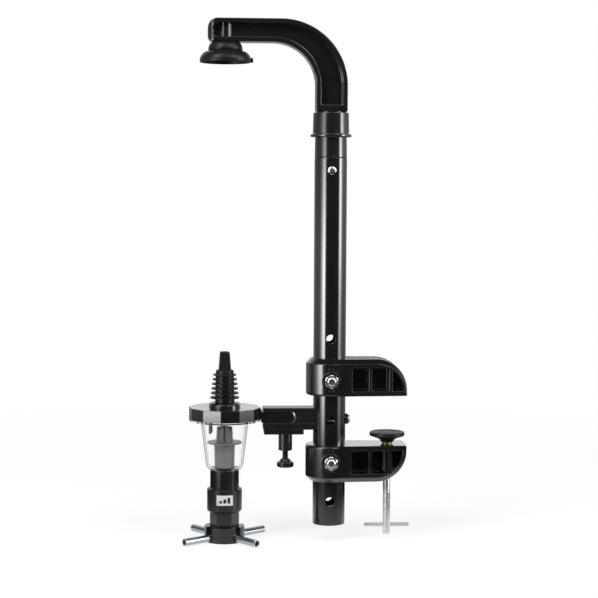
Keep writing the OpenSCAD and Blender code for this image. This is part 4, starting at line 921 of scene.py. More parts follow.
def jaw_arm(name):
    """The tapered arm: flat top, bevel that dies away at the tip, and pocketed sides."""
    bevel, ease = 4.7, 0.7
    path = jaw_outline()
    steps = inward([(x, z) for x, z, share in path])
    # (inset, drop) of the bevel with both of its edges eased
    profile = [(0.0, bevel + 2.2), (0.0, bevel + ease), (0.14 * ease, bevel + 0.3 * ease),
               (0.5 * ease, bevel - 0.5 * ease), (bevel - 0.5 * ease, 0.5 * ease),
               (bevel - 0.15 * ease, 0.14 * ease), (bevel + ease, 0.0)]

    def ring(in_by, drop, side):
        points = []
        for (x, z, share), step in zip(path, steps):
            px, pz = x + step.x * in_by * share, z + step.y * in_by * share
            points.append(Vector((px, side * (jaw_half(px) - drop * share), pz)))
        return points

    bm = bmesh.new()
    front = [ring(i, d, -1) for i, d in reversed(profile)]
    back = [ring(i, d, 1) for i, d in profile]
    made = wrap(bm, front + back, caps=False)
    lip, fillet, draft = 0.65, 0.7, 0.3
    lip_rings = [(lip * math.sin(a) - lip,
                  lip * (1 - math.cos(a))) for a in [math.radians(30 * k) for k in range(4)]]
    web_rings = [(draft, fillet), (draft + 0.3 * fillet, 0.3 * fillet), (draft + fillet, 0.0)]
    for side, border in ((-1, made[0]), (1, made[-1])):
        edges = [bm.edges.get((border[k],
                               border[(k + 1) % len(border)])) for k in range(len(border))]
        for pocket in jaw_pockets():
            loops = [[Vector((x, side * (jaw_half(x) - drop), z)) for x, z in inset(pocket, in_by)]
                     for in_by, drop in lip_rings]
            loops += [[Vector((x, side * (JAW_WEB + above), z)) for x, z in inset(pocket, in_by)]
                      for in_by, above in web_rings]
            sunk = wrap(bm, loops, caps=False)
            bm.faces.new(sunk[-1])
            mouth = sunk[0]
            edges += [bm.edges.get((mouth[k],
                                    mouth[(k + 1) % len(mouth)])) for k in range(len(mouth))]
        bmesh.ops.triangle_fill(bm, use_beauty=True, edges=edges)
    bmesh.ops.translate(bm, vec=(COLUMN_X, 0, 0), verts=bm.verts)
    return skin(name, bm)


def jaw_ring(name):
    # Its ends stand a hair proud of the arm's faces, so that the two never coincide
    foot_r, brow_r, proud = 2.4, 0.7, 0.04
    outline = rounded([
        (RING_BORE, -proud, 0.3), (RING_R, -proud, foot_r), (RING_R, JAW_H - 4.7, brow_r),
        (RING_R - 4.7, JAW_H + proud, 0.5), (RING_BORE, JAW_H + proud, 0.4),
    ], 6)
    return lathe(name, outline, at(COLUMN_X), 128)


def bolt_boss(side):
    """The round boss at one end of the bolt, with its spotface and two pairs of guide ribs."""
    outline = rounded([(4.6, 14.5, 0), (4.6, SEAT_Y, 0.2), (8.2, SEAT_Y, 0.25),
                       (8.2, SEAT_Y + 1.2, 0.2),
                       (9.3, SEAT_Y + 1.2, 0.35), (9.3, 14.5, 0)])
    toward = "-Y" if side < 0 else "Y"
    parts = [lathe("boss", outline, at(COLUMN_X, 0, BOLT_RISE, toward), 96)]
    for z0, z1 in ((BOLT_RISE + 8.9, BOLT_RISE + 12.6), (BOLT_RISE - 12.4, BOLT_RISE - 8.9)):
        for x in (-1.9, 1.9):
            y0, y1 = sorted((side * 22.0, side * 23.75))
            parts.append(block("rib", (COLUMN_X + x - 0.5, y0, z0), (COLUMN_X + x + 0.5, y1, z1),
                               0.25, 0.25))
    return parts


def jaw(node, lower):
    """A jaw as moulded, clamp face on z = 0. The lower one is turned over and carries the screw."""
    arm = jaw_arm(node + "_skin")
    cut(arm, drill(RING_BORE + 0.5, -5, JAW_H + 5, at(COLUMN_X), 96))
    parts = [jaw_ring("ring")] + bolt_boss(-1) + bolt_boss(1)
    if lower:
        screw_r, nut_r, boss_r, nut_h, boss_top = 4.5, 7.6, 8.6, 6.6, 26.3
        outline = rounded([(screw_r, nut_h, 0), (screw_r, boss_top, 0), (boss_r, boss_top, 0.5),
                           (boss_r, nut_h, 0)])
        cut(arm, drill(screw_r, -5, JAW_H + 5, at()), drill(nut_r, -5, nut_h, at(), 6))
        parts.append(lathe("pillar", outline, at(), 64))
    join(arm, *parts)
    if lower:
        arm.data.transform(Matrix.Translation((0, 0, LOWER_JAW_TOP * MM)) @ Matrix.Diagonal((1, 1,
                                                                                             -1,
                                                                                             1)))
        arm.data.flip_normals()
    stands_for(arm, node, angle=50.0)


def hexagon_skin(name, flats, height, where, both_ends=True):
    """A hexagon whose corners are turned off to a cone at its faces, as nuts and heads are."""
    segments = 96
    inner = flats / 2 * 0.955
    slope = 1.75
    edge = 0.12
    levels = [0.0] + ([0.35, 0.7, 1.1, 1.5] if both_ends else [0.02])
    levels += [height - 1.5, height - 1.1, height - 0.7, height - 0.35, height]

    def reach(angle, z):
        corner = (math.degrees(angle) + 30) % 60 - 30
        flat = flats / 2 / math.cos(math.radians(corner))
        allowed = inner + slope * (height - z)
        if both_ends:
            allowed = min(allowed, inner + slope * z)
        return min(flat, allowed)

    def circle(z):
        return [Vector(((inner - edge) * math.cos(a), (inner - edge) * math.sin(a),
                        z)) for a in angles]

    bm = bmesh.new()
    angles = [2 * math.pi * k / segments for k in range(segments)]
    rings = [circle(0.0)]
    rings += [[Vector((reach(a, z) * math.cos(a), reach(a, z) * math.sin(a),
                       z)) for a in angles] for z in levels]
    rings.append(circle(height))
    wrap(bm, [[where @ p for p in ring] for ring in rings])
    return skin(name, bm)


def jaw_fixings(which, z):
    """Nut and bolt end on the front, bolt head behind."""
    nut_h = 6.5
    front = at(COLUMN_X, -SEAT_Y, z, "-Y")
    nut = hexagon_skin(which + "_nut_skin", 12.1, nut_h, front)
    cut(nut, drill(4.05, -1, nut_h + 1, front, 64))
    # The countersink at the thread's mouth
    sink = lathe("sink",
                 [(0, nut_h - 0.6), (4.0, nut_h - 0.6), (4.9, nut_h + 0.3), (0, nut_h + 0.3)],
                 front, 64)
    stands_for(cut(nut, sink), which + "_nut", angle=30.0)
    end = SEAT_Y + nut_h + 1.2
    shank = [(0, -SEAT_Y), (4.0, -SEAT_Y), (4.0, SEAT_Y + 4.6)]
    for z0 in (SEAT_Y + 5.0, SEAT_Y + 6.25):
        shank += [(4.0, z0), (3.55, z0 + 0.45), (4.0, z0 + 0.9)]
    shank += [(3.9, end - 0.5), (3.2, end), (0, end)]
    bolt = lathe(which + "_bolt_skin", shank, at(COLUMN_X, 0, z, "-Y"), 64)
    head = hexagon_skin("head", 12.8, 5.3, at(COLUMN_X, SEAT_Y, z, "Y"), both_ends=False)
    stands_for(join(bolt, head), which + "_bolt", angle=30.0)


# ---------------------------------------------------------------- clamp screw and pad

PAD_LOW = -46.0
FERRULE_LOW = -48.9
SCREW_FOOT = -139.4
THREAD_FOOT = -98.0
TEE_Z = -130.4


def clamp_pad():
    """A rubber pad with concentric rings sunk in its face."""
    top, sunk = 8.6, 0.5
    outline = [(0, 4.5), (3.6, 4.5)]
    outline += rounded([
        (3.6, -1.3, 0.2), (6.3, -1.3, 0.4), (7.0, 0.4, 0.8), (10.4, 2.6, 2.0), (15.6, 4.2, 1.0),
        (17.1, 4.9, 0.5),
        (17.4, 5.8, 0.4), (17.3, top - 0.8, 0.4), (16.5, top, 0.4), (0, top, 0),
    ])[:-1]
    for r in (12.6, 9.1, 5.6):
        outline += [(r + 1.0, top), (r + 0.7, top - 0.1), (r + 0.55, top - sunk),
                    (r - 0.55, top - sunk),
                    (r - 0.7, top - 0.1), (r - 1.0, top)]
    outline.append((0, top))
    turned("clamp_pad", outline, at(0, 0, PAD_LOW), 128)


def pad_ferrule():
    """A turned ferrule with a waist, and its spigot in the pad."""
    outline = [(2.6, 0.1), (2.7, 0.0), (4.9, 0.0), (5.1, 0.08), (5.2, 0.3), (5.2, 0.9),
               (4.55, 1.25), (4.55, 1.75),
               (5.2, 2.1), (5.2, 2.7), (5.0, 2.9), (3.45, 2.9), (3.45, 6.2), (2.6, 6.2)]
    turned("pad_ferrule", outline, at(0, 0, FERRULE_LOW), 64)


def clamp_screw():
    """Plain shank, cut thread and turned tip."""
    tip = PAD_LOW + 3.3
    outline = rounded([
        (0, SCREW_FOOT, 0), (3.55, SCREW_FOOT, 0.7), (3.55, THREAD_FOOT, 0.2),
        (3.4, THREAD_FOOT + 0.3, 0),
        (3.4, FERRULE_LOW - 1.0, 0), (2.9, FERRULE_LOW, 0), (2.5, FERRULE_LOW, 0), (2.5, tip, 0.4),
        (0, tip, 0),
    ])
    screw = lathe("clamp_screw_skin", outline, at(), 64)
    cut(screw, drill(1.95, -6, 6, at(0, 0, TEE_Z, "X"), 32))
    stands_for(screw, "clamp_screw")
    ridge = thread_ridge("clamp_thread", 4.0, 1.25, THREAD_FOOT + 0.8, FERRULE_LOW - 0.9, at(),
                         "zinc")
    place(ridge, "clamp_screw", angle=60.0)


def tee_bar():
    half = 22.5
    outline = rounded([(0, -half, 0), (1.95, -half, 0.7), (1.95, half, 0.7), (0, half, 0)])
    turned("tee_bar", outline, at(0, 0, TEE_Z, "X"), 48)


# ---------------------------------------------------------------- bracket

BRACKET_LOW = -34.0
BRACKET_TOP = -12.6
SLOT_FLOOR = -27.1
SLOT_ROOF = -16.2
PLATE_LOW = -38.9
PLATE_LEFT = -122.0
PLATE_RIGHT = -83.1
BOSS_LOW = -55.5
THUMB_X = -100.7


def bracket_arm():
    """The fork: a wider foot, and above it the body with the slot that the tongue slides in."""
    left, right = COLUMN_X - 65.5, COLUMN_X - 5.0
    bow = (SLOT_ROOF - SLOT_FLOOR) / 2
    end_x = COLUMN_X - 33.3 - bow
    step = SLOT_FLOOR - 0.5
    foot = rounded([(left, BRACKET_LOW, 0.6), (right, BRACKET_LOW, 0), (right, step, 0),
                    (left, step, 0.5)])
    arm = prism("bracket_arm_skin", foot, -10.5, 10.5, UPRIGHT, 0.45)
    body = [(left, step - 0.6), (left, SLOT_FLOOR)]
    body += arc(end_x, SLOT_FLOOR + bow, bow, -90, 90, 16)
    body += [(left, SLOT_ROOF)] + arc(left + 0.9, BRACKET_TOP - 0.9, 0.9, 180, 90, 5)
    body += [(right, BRACKET_TOP), (right, step - 0.6)]
    fork = prism("fork", body, -10.0, 10.0, UPRIGHT, 0.45)
    groove = block("groove", (left - 1, -2, SLOT_ROOF - 1), (end_x, 2, SLOT_ROOF + 1.8), 0, 0)
    for part, tools in ((arm, []), (fork, [groove])):
        column = drill(TUBE_R + 0.02, -60, 10, at(COLUMN_X), 96)
        shoe_bore = drill(5.0, BRACKET_LOW - 1, SLOT_FLOOR + 1, at(THUMB_X))
        cut(part, column, shoe_bore, *tools)
    stands_for(join(arm, fork), "bracket_arm", angle=35.0)


def bracket_bolt():
    """A domed head behind the column, on its shank."""
    seat = TUBE_R + 2.4
    outline = [(0, -25.9), (3.0, -25.9), (3.0, seat), (4.0, seat), (4.3, seat + 0.25)]
    outline += [(4.3 * math.cos(a), seat + 2.2 * (0.35 + 0.65 * math.sin(a)))
                for a in [math.radians(10 * k) for k in range(1, 9)]]
    outline += [(0, seat + 2.2)]
    turned("bracket_bolt", outline, at(COLUMN_X, 0, CROSS_HOLES[2], "X"), 64)


def saddle_washer():
    outline = rounded([(3.05, 10, 0), (5.2, 10, 0), (5.2, TUBE_R + 2.4, 0.6),
                       (3.05, TUBE_R + 2.4, 0.2)])
    washer = lathe("saddle_washer_skin", outline, at(COLUMN_X, 0, CROSS_HOLES[2], "X"), 64)
    stands_for(cut(washer, drill(TUBE_R + 0.02, -40, 0, at(COLUMN_X), 96)), "saddle_washer")


def screw_plate():
    """The plate under the fork and its threaded boss."""
    loop = rounded([(PLATE_LEFT, PLATE_LOW, 0.6), (PLATE_RIGHT, PLATE_LOW, 0.6),
                    (PLATE_RIGHT, BRACKET_LOW, 0.4),
                    (PLATE_LEFT, BRACKET_LOW, 0.4)])
    plate = prism("screw_plate_skin", loop, -9, 9, UPRIGHT, 0.4)
    outline = rounded([(3.3, BOSS_LOW, 0.3), (6.7, BOSS_LOW, 0.6), (6.7, PLATE_LOW + 1, 0),
                       (3.3, PLATE_LOW + 1, 0)])
    stands_for(join(plate, lathe("boss", outline, at(THUMB_X), 72)), "screw_plate", angle=35.0)


def thumb_screw():
    low, top, tip = -67.0, -29.6, 1.27
    outline = rounded([(0, low, 0), (2.55, low, 0), (2.55, BOSS_LOW + 1, 0), (3.0, BOSS_LOW + 1, 0),
                       (3.0, top, 0.3),
                       (1.5, top, 0), (1.5, top + tip, 0.2), (0, top + tip, 0)])
    turned("thumb_screw", outline, at(THUMB_X), 48)
    ridge = thread_ridge("thumb_thread", 3.0, 1.0, -64.5, BOSS_LOW + 0.5, at(THUMB_X), "soft_black")
    place(ridge, "thumb_screw", angle=60.0)


def thumb_knob():
    """A round knob with a flared neck."""
    outline = rounded([(0, 0, 0), (8.25, 0, 1.5), (8.25, 5.2, 1.4), (6.2, 5.35, 1.2),
                       (4.1, 8.3, 0.4), (0, 8.4, 0)], 6)
    turned("thumb_knob", outline, at(THUMB_X, 0, -72.2), 96)


# ---------------------------------------------------------------- optic

CAP_LOW = -24.1
CAP_TOP = -12.4
CAP_R = 35.3
OPTIC_TURN = -7.0
SEAT_TOP = -7.7
CHAMBER_LOW = -74.2
SLEEVE_TOP = -92.0
SLEEVE_LOW = -115.7
SLEEVE_R = 17.15
HUB_TOP = -130.0
HUB_LOW = -145.2
PRONG_Z = -140.3
PRONG_R = 3.65
INLET_LOW = -20.6
VENT_X = OPTIC_X - 13.8
VENT_TOP = -14.4
HEXAGON_TOP = -114.0
VALVE_SHOULDER = -100.0
VALVE_SPRING_TOP = -84.0


def polygon(sides, radius, turn, corner):
    """A regular polygon with its corners at that radius, each a little rounded."""
    angles = [math.radians(turn + 360 * k / sides) for k in range(sides)]
    return rounded([(radius * math.cos(a), radius * math.sin(a), corner) for a in angles], 3)


def turned_about_optic(piece, degrees):
    """Turns a piece about z and stands it on the optic's axis."""
    turn = Matrix.Rotation(math.radians(degrees), 4, "Z")
    piece.data.transform(Matrix.Translation((OPTIC_X * MM, 0, 0)) @ turn)
    return piece


def optic_cap():
    """A twelve-sided cap, hollow below, with the shoulder and tongue that carry it in the fork."""
    cap = prism("optic_cap_skin", polygon(12, CAP_R, OPTIC_TURN, 0.9), CAP_LOW, CAP_TOP,
                at(OPTIC_X), 0.25, 0.45)
    hollow = drill(25.0, CAP_LOW - 1, -15.9, at(OPTIC_X), 96)
    air = drill(1.2, CAP_LOW, CAP_TOP + 1, at(OPTIC_X - 18.4), 32)
    vent = drill(1.9, -17, VENT_TOP, at(VENT_X), 32)
    cut(cap, hollow, air, vent)
    nozzle = rounded([(2.5, INLET_LOW, 0.2), (6.0, INLET_LOW, 0.4), (6.0, -15.5, 0),
                      (2.5, -15.5, 0)])
    parts = [lathe("nozzle", nozzle, at(OPTIC_X), 48)]
    parts.append(block("shoulder", (OPTIC_X + 31.3, -8.5, CAP_LOW + 0.05), (-124.3, 8.5, -14.0),
                       0.5, 0.8))
    low, top = -27.0, -16.4
    bow = (top - low) / 2
    start = OPTIC_X + 35.6
    tongue = [(start, low)] + arc(-92.3 - bow, low + bow, bow, -90, 90, 14) + [(start, top)]
    parts.append(prism("tongue", tongue, -8.5, 8.5, UPRIGHT, 0.4))
    parts.append(block("rib", (-121.7, -1.9, top - 1), (-103.0, 1.9, -14.6), 0.2, 0.2))
    stands_for(join(cap, *parts), "optic_cap", angle=35.0)


def stopper_seat():
    """The round seat, with the bead under the stopper's foot."""
    outline = rounded([(4.05, CAP_TOP, 0), (15.6, CAP_TOP, 0), (15.6, SEAT_TOP - 2.3, 0.5),
                       (15.1, SEAT_TOP - 2.1, 0.2),
                       (15.5, SEAT_TOP - 1.6, 0.5), (14.3, SEAT_TOP, 1.4),
                       (11.6, SEAT_TOP - 0.2, 1.4),
                       (9.6, SEAT_TOP - 1.6, 0.4), (4.05, SEAT_TOP - 2.0, 0)])
    turned("stopper_seat", outline, at(OPTIC_X), 96)


def stopper():
    made = grown("stopper_skin", finned_stopper(MATERIALS["black_rubber"]))
    stands_for(moved(made, at(OPTIC_X, 0, SEAT_TOP)), "stopper", angle=70.0)


def inlet_spout():
    """A flattened tapering spout, one top corner rounded, on the rigid inlet tube."""
    foot, tip = 24.6, 42.2
    bm = bmesh.new()
    rings = []
    levels = [0.0, 0.25, 0.5, 0.75, 0.89]
    levels += [0.89 + 0.11 * math.sin(math.radians(a)) for a in (15, 30, 45, 60, 75, 90)]
    for share in levels:
        fall = max(share - 0.89, 0) / 0.11
        round_off = 1 - math.sqrt(max(1 - fall**2, 0))
        left = -6.15 + 1.3 * share + 0.4 * round_off
        right = 6.15 - 1.3 * share - 2.0 * round_off
        half = 5.0 - 1.4 * share - 0.5 * round_off
        loop = rounded([(left, -half, 0.9), (right, -half, 0.9), (right, half, 0.9),
                        (left, half, 0.9)])
        rings.append([Vector((OPTIC_X + x, y, foot + (tip - foot) * share)) for x, y in loop])
    wrap(bm, rings)
    spout = skin("inlet_spout_skin", bm)
    cut(spout, drill(2.5, foot - 1, tip + 1, at(OPTIC_X), 48))
    tube = lathe("tube", [(2.5, INLET_LOW), (4.0, INLET_LOW), (4.0, foot + 0.2), (2.5, foot + 0.2)],
                 at(OPTIC_X), 48)
    stands_for(join(spout, tube), "inlet_spout")


def chamber():
    """The clear measuring chamber with its thin twelve-sided flange."""
    foot_r, wall, rim_top = 6.2, 1.8, -17.4
    low_r, top_r = 18.5, 23.55
    flange_low = CAP_LOW - 1.9
    outer = [(6.1, CHAMBER_LOW)] + arc(low_r - foot_r, CHAMBER_LOW + foot_r, foot_r, -90, 0, 10)
    outer += [(top_r - 0.1, flange_low - 0.1), (top_r, rim_top - 0.2), (top_r - 0.2, rim_top)]
    inner = [(top_r - wall, rim_top), (top_r - wall, flange_low)]
    inner += arc(low_r - foot_r, CHAMBER_LOW + foot_r, foot_r - wall, 0, -90,
                 10) + [(6.1, CHAMBER_LOW + wall)]
    glass = lathe("chamber_skin", outer + inner, at(OPTIC_X), 128)
    flange = prism("flange", polygon(12, CAP_R, OPTIC_TURN, 0.9), flange_low, CAP_LOW - 0.02,
                   at(OPTIC_X), 0.3, 0.1)
    cut(flange, drill(top_r - 0.3, flange_low - 1, CAP_LOW + 1, at(OPTIC_X), 128))
    stands_for(join(glass, flange), "chamber", angle=35.0)


def vent_tube():
    """A thin tube whose tip is cut on a slant."""
    tip, top, x = -39.0, VENT_TOP, VENT_X
    tube = lathe("vent_tube_skin", [(1.0, tip), (1.9, tip), (1.9, top), (1.0, top)], at(x), 48)
    slant = block("slant", (-6, -4, -12), (8, 4, 0), 0, 0)
    slant.data.transform(Matrix.Translation((x * MM, 0,
                                             tip * MM)) @ Matrix.Rotation(math.radians(-45), 4,
                                                                          "Y"))
    stands_for(cut(tube, slant), "vent_tube", angle=35.0)


def guide_tube():
    """The grey tube with its disc, castle notches, slit and drain holes."""
    low = CHAMBER_LOW + 1.8
    disc_low, disc_top, top = low + 24.2, low + 25.7, low + 40.5
    outline = rounded([
        (6.3, low, 0), (9.75, low, 0.3), (10.35, disc_low, 0.5), (17.0, disc_low, 0.5),
        (17.0, disc_top, 0.5),
        (8.5, disc_top, 0.5), (7.6, top, 0.4), (6.3, top, 0.2),
    ])
    tube = lathe("guide_tube_skin", outline, at(OPTIC_X), 96)
    tools = []
    for turn in (45, 135, 225, 315):
        notch = block("notch", (0, -1.6, top - 2.2), (12, 1.6, top + 2), 0, 0)
        tools.append(turned_about_optic(notch, turn))
    slit = block("slit", (0, -0.7, disc_top + 0.5), (12, 0.7, top + 2), 0, 0)
    tools.append(turned_about_optic(slit, -93))
    for turn in (60, 120):
        tools.append(turned_about_optic(drill(1.5, 0, 14, at(0, 0, low + 9.2, "X"), 24), turn))
    stands_for(cut(tube, *tools), "guide_tube", angle=35.0)


def valve_body():
    """The glossy neck under the chamber and the collar inside it."""
    outline = rounded([
        (4.05, CHAMBER_LOW + 8.2, 0), (4.05, VALVE_SPRING_TOP, 0), (8.5, VALVE_SPRING_TOP, 0),
        (8.5, VALVE_SHOULDER, 0), (14.1, VALVE_SHOULDER, 0.2),
        (14.1, CHAMBER_LOW - 0.05, 0.5), (6.1, CHAMBER_LOW - 0.05, 0),
        (6.1, CHAMBER_LOW + 8.2, 0.4),
    ])
    turned("valve_body", outline, at(OPTIC_X), 96)


def valve_sleeve():
    """The satin sleeve: bevelled ends and five small wrench notches in the upper bevel."""
    bevel = 1.6
    outline = rounded([
        (14.2, SLEEVE_TOP, 0.2), (14.2, VALVE_SHOULDER, 0), (15.0, VALVE_SHOULDER - 0.5, 0),
        (15.0, SLEEVE_LOW, 0.2),
        (SLEEVE_R - bevel, SLEEVE_LOW, 0.3), (SLEEVE_R, SLEEVE_LOW + bevel, 0.5),
        (SLEEVE_R, SLEEVE_TOP - bevel, 0.4),
        (SLEEVE_R - bevel, SLEEVE_TOP, 0.3),
    ])
    sleeve = lathe("valve_sleeve_skin", outline, at(OPTIC_X), 128)
    tools = []
    for k in range(5):
        notch = block("notch", (15.0, -2.1, SLEEVE_TOP - 2.0), (19, 2.1, SLEEVE_TOP + 1), 0, 0)
        tools.append(turned_about_optic(notch, -53 + 72 * k))
    stands_for(cut(sleeve, *tools), "valve_sleeve", angle=35.0)


def wrapped_on_sleeve(piece, radius):
    """Bends a flat mesh, whose x runs round the sleeve and y up, onto the sleeve's front."""
    for vertex in piece.data.vertices:
        x, y, z = vertex.co / MM
        a = -math.pi / 2 + x / radius
        vertex.co = Vector((OPTIC_X + (radius + z) * math.cos(a), (radius + z) * math.sin(a),
                            y)) * MM
    return piece


def sleeve_label():
    """A white label with a plain mark of three growing bars, for the measure."""
    low, high, half, thick = -107.5, -97.5, 8.25, 0.25
    bm = bmesh.new()
    columns = 24
    rings = []
    for inset_by, lift in ((0.0, 0.0), (0.0, thick - 0.1), (0.1, thick), (0.4, thick)):
        w, z0, z1 = half - inset_by, low + inset_by, high - inset_by
        ring = [(-w + 2 * w * k / columns, z0) for k in range(columns + 1)]
        ring += [(w - 2 * w * k / columns, z1) for k in range(columns + 1)]
        rings.append([Vector((x, z, lift)) for x, z in ring])
    made = wrap(bm, rings, caps=False)
    for ring in (made[0], made[-1]):
        for k in range(columns):
            other = 2 * columns + 1 - k
            bm.faces.new((ring[k], ring[k + 1], ring[other - 1], ring[other]))
    stands_for(wrapped_on_sleeve(skin("sleeve_label_skin", bm), SLEEVE_R), "sleeve_label")
    bars = []
    for x, tall in ((-4.0, 2.4), (0.0, 4.0), (4.0, 5.6)):
        foot = -105.2
        bars.append(block("bar", (x - 1.3, foot, -0.05), (x + 1.3, foot + tall, 0.12), 0.02, 0.2))
    mark = wrapped_on_sleeve(join(*bars), SLEEVE_R + thick)
    mark.name = "label_mark"
    place(mark, "sleeve_label", slot="soft_black")


def plunger():
    """The hexagon, with the hollow stem above it and the spigot in the hub."""
    hexagon = prism("plunger_skin", polygon(6, 14.45, -2.6, 0.5), HUB_TOP, HEXAGON_TOP, at(OPTIC_X),
                    0.2, 0.4)
    stem = rounded([(2.25, HUB_LOW, 0.2), (7.0, HUB_LOW, 0.4), (7.0, HUB_TOP + 0.5, 0),
                    (4.0, HUB_TOP + 0.5, 0),
                    (4.0, -33.7, 0.3), (2.25, -33.7, 0)])
    stands_for(join(hexagon, lathe("stem", stem, at(OPTIC_X), 64)), "plunger", angle=35.0)


def prong_turn(k):
    return OPTIC_TURN + 45 + 90 * k


def prong_hub():
    """The round hub, with a slot cut down to each prong."""
    hub_r, slot_depth, slot_r = 19.75, 4.6, PRONG_R + 0.8
    outline = rounded([(7.1, HUB_LOW, 0.3), (hub_r, HUB_LOW, 0.9), (hub_r, HUB_TOP, 0.6),
                       (7.1, HUB_TOP, 0.3)])
    hub = lathe("prong_hub_skin", outline, at(OPTIC_X), 128)
    tools = []
    for k in range(4):
        loop = arc(0, 0, slot_r, 180, 360, 16) + [(slot_r, 20), (-slot_r, 20)]
        turn = Matrix.Rotation(math.radians(prong_turn(k) - 90), 4, "Z")
        where = Matrix.Translation((OPTIC_X, 0, PRONG_Z)) @ turn @ UPRIGHT
        tools.append(prism("slot", loop, -hub_r - 6, slot_depth - hub_r, where, 0))
    stands_for(cut(hub, *tools), "prong_hub", angle=40.0)


def prongs():
    """Four polished tubes round the hub, and the dark plugs sunk in their ends."""
    bore_r, bore_start, tip = 2.4, 42.0, 50.0
    tube = rounded([(0, 8.0, 0), (PRONG_R, 8.0, 0.1), (PRONG_R, tip, 0.35), (bore_r, tip, 0.35),
                    (bore_r, bore_start, 0),
                    (0, bore_start, 0)])
    plug = rounded([(0, bore_start, 0), (bore_r - 0.02, bore_start, 0), (bore_r - 0.02, 48.8, 0.5),
                    (0, 48.8, 0)])
    for outline, node in ((tube, "prongs"), (plug, "prong_plugs")):
        pattern = lathe(node + "_pattern", outline, at(0, 0, 0, "X"), 64)
        tree = ring_of_pieces(node + "_ring", pattern, MATERIALS[SLOT_OF[node]])
        made = grown(node + "_skin", tree, count=4, first_turn=math.radians(prong_turn(0)))
        bpy.data.objects.remove(pattern)
        stands_for(moved(made, at(OPTIC_X, 0, PRONG_Z)), node)


# ---------------------------------------------------------------- springs


def spring(node, coil_r, wire_r, turns, low, high, x):
    """A wound wire between its lower and upper seats."""
    made = grown(
        node + "_skin", WIRE, coil_radius=coil_r * MM, wire_radius=wire_r * MM, turns=float(turns),
        rise=(high - low - 2 * wire_r) * MM, steps=36, sides=10,
    )
    stands_for(moved(made, at(x, 0, low + wire_r)), node, angle=60.0)
    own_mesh(made)


def springs():
    spring("arm_spring", 11.8, 0.88, 10, 111.05, SPIGOT_FOOT, COLUMN_X)
    spring("valve_spring", 7.0, 0.58, 7, HEXAGON_TOP, VALVE_SPRING_TOP, OPTIC_X)


# ---------------------------------------------------------------- the whole object

# Pieces inside others, which keep the CAD's own shape
INNER_NODES = (
    "clamp_nut", "bracket_insert", "spring_seat", "arm_stem", "stem_pin", "cup_stud", "cup_nut",
    "thumb_shoe",
    "cap_gasket", "valve_seal",
)


def repaint(node):
    """Keeps a CAD node's own mesh and gives it its finish."""
    data = frame["nodes"][node].data
    data.materials.clear()
    data.materials.append(MATERIALS[SLOT_OF[node]])


def build_all():
    for make in (column_tube, column_bush, bush_screw, swan_neck, bottle_cup):
        make()
    jaw("upper_jaw", False)
    jaw("lower_jaw", True)
    jaw_fixings("upper_jaw", CROSS_HOLES[3])
    jaw_fixings("lower_jaw", CROSS_HOLES[1])
    for make in (
        clamp_pad, pad_ferrule, clamp_screw, tee_bar, bracket_arm, bracket_bolt, saddle_washer,
        screw_plate,
        thumb_screw, thumb_knob, optic_cap, stopper_seat, stopper, inlet_spout, chamber, vent_tube,
        guide_tube,
        valve_body, valve_sleeve, sleeve_label, plunger, prong_hub, prongs, springs,
    ):
        make()
    for node in INNER_NODES:
        repaint(node)


build_all()

# ---------------------------------------------------------------- camera, light and floor

CAMERA_PLACE = Vector((-187.0, -1620.0, 202.5))
CAMERA_TURN = 3.5
CAMERA_PITCH = -3.83
CAMERA_ROLL = 0.3
PHOTO_SIZE = 598
WHITE = (1.0, 1.0, 1.0, 1.0)
FOCAL_PIXELS = 1658.0
SENSOR = 36.0


def make_camera():
    data = bpy.data.cameras.new("camera")
    data.sensor_width = SENSOR
    data.lens = SENSOR * FOCAL_PIXELS / PHOTO_SIZE
    data.clip_start = 0.05
    data.clip_end = 30.0
    camera = bpy.data.objects.new("camera", data)
    turn = Matrix.Rotation(math.radians(-CAMERA_TURN), 4, "Z")
    pitch = Matrix.Rotation(math.radians(90 + CAMERA_PITCH), 4, "X")
    roll = Matrix.Rotation(math.radians(CAMERA_ROLL), 4, "Z")
    camera.matrix_world = Matrix.Translation(CAMERA_PLACE * MM) @ turn @ pitch @ roll
    bpy.context.scene.collection.objects.link(camera)
    bpy.context.scene.camera = camera


# The soft boxes beside the object: (degrees round from the front, share of the peak), left negative
LEFT_BOX = [(-125, 0.01), (-108, 0.02), (-92, 0.03), (-82, 0.04), (-73, 0.08), (-64.5, 0.24),
            (-56.5, 0.56),
            (-49, 0.95), (-43, 1.0), (-37, 0.95), (-34, 0.05), (-30, 0.0)]
RIGHT_BOX = [(59, 0.0), (64, 0.06), (66.5, 0.78), (72, 0.85), (78.5, 0.62), (87.8, 0.15),
             (98, 0.045), (109, 0.015),
             (131, 0.005)]
# and how each fades with height: (degrees above the horizon, share)
LEFT_RISE = [(-15, 0.04), (-10.6, 0.14), (-8, 0.5), (-6.6, 0.55), (-4, 1.0), (-2, 1.0), (-0.4, 0.6),
             (1.7, 0.24), (5, 0.14), (20, 0.12), (40, 0.0)]
RIGHT_RISE = [(-15, 0.02), (-10.6, 0.05), (-7.8, 0.1), (-3.9, 0.4), (-2, 1.0), (1.7, 1.0), (5, 0.6),
              (20, 0.4), (40, 0.0)]
# A soft box high in front of the object
TOP_BOX = [(-40, 0.0), (-22, 0.5), (-8, 1.0), (20, 1.0), (34, 0.5), (50, 0.0)]
TOP_RISE = [(34, 0.0), (40, 1.0), (58, 1.0), (66, 0.0)]
TOP_PEAK = 1.0
# The rest of the room: dim in front and at the sides, a little lighter behind
ROOM = [(-180, 0.18), (-149, 0.2), (-129, 0.2), (-114, 0.14), (-100, 0.1), (-60, 0.05), (0, 0.03),
        (60, 0.05),
        (104, 0.26), (122, 0.28), (140, 0.22), (180, 0.18)]
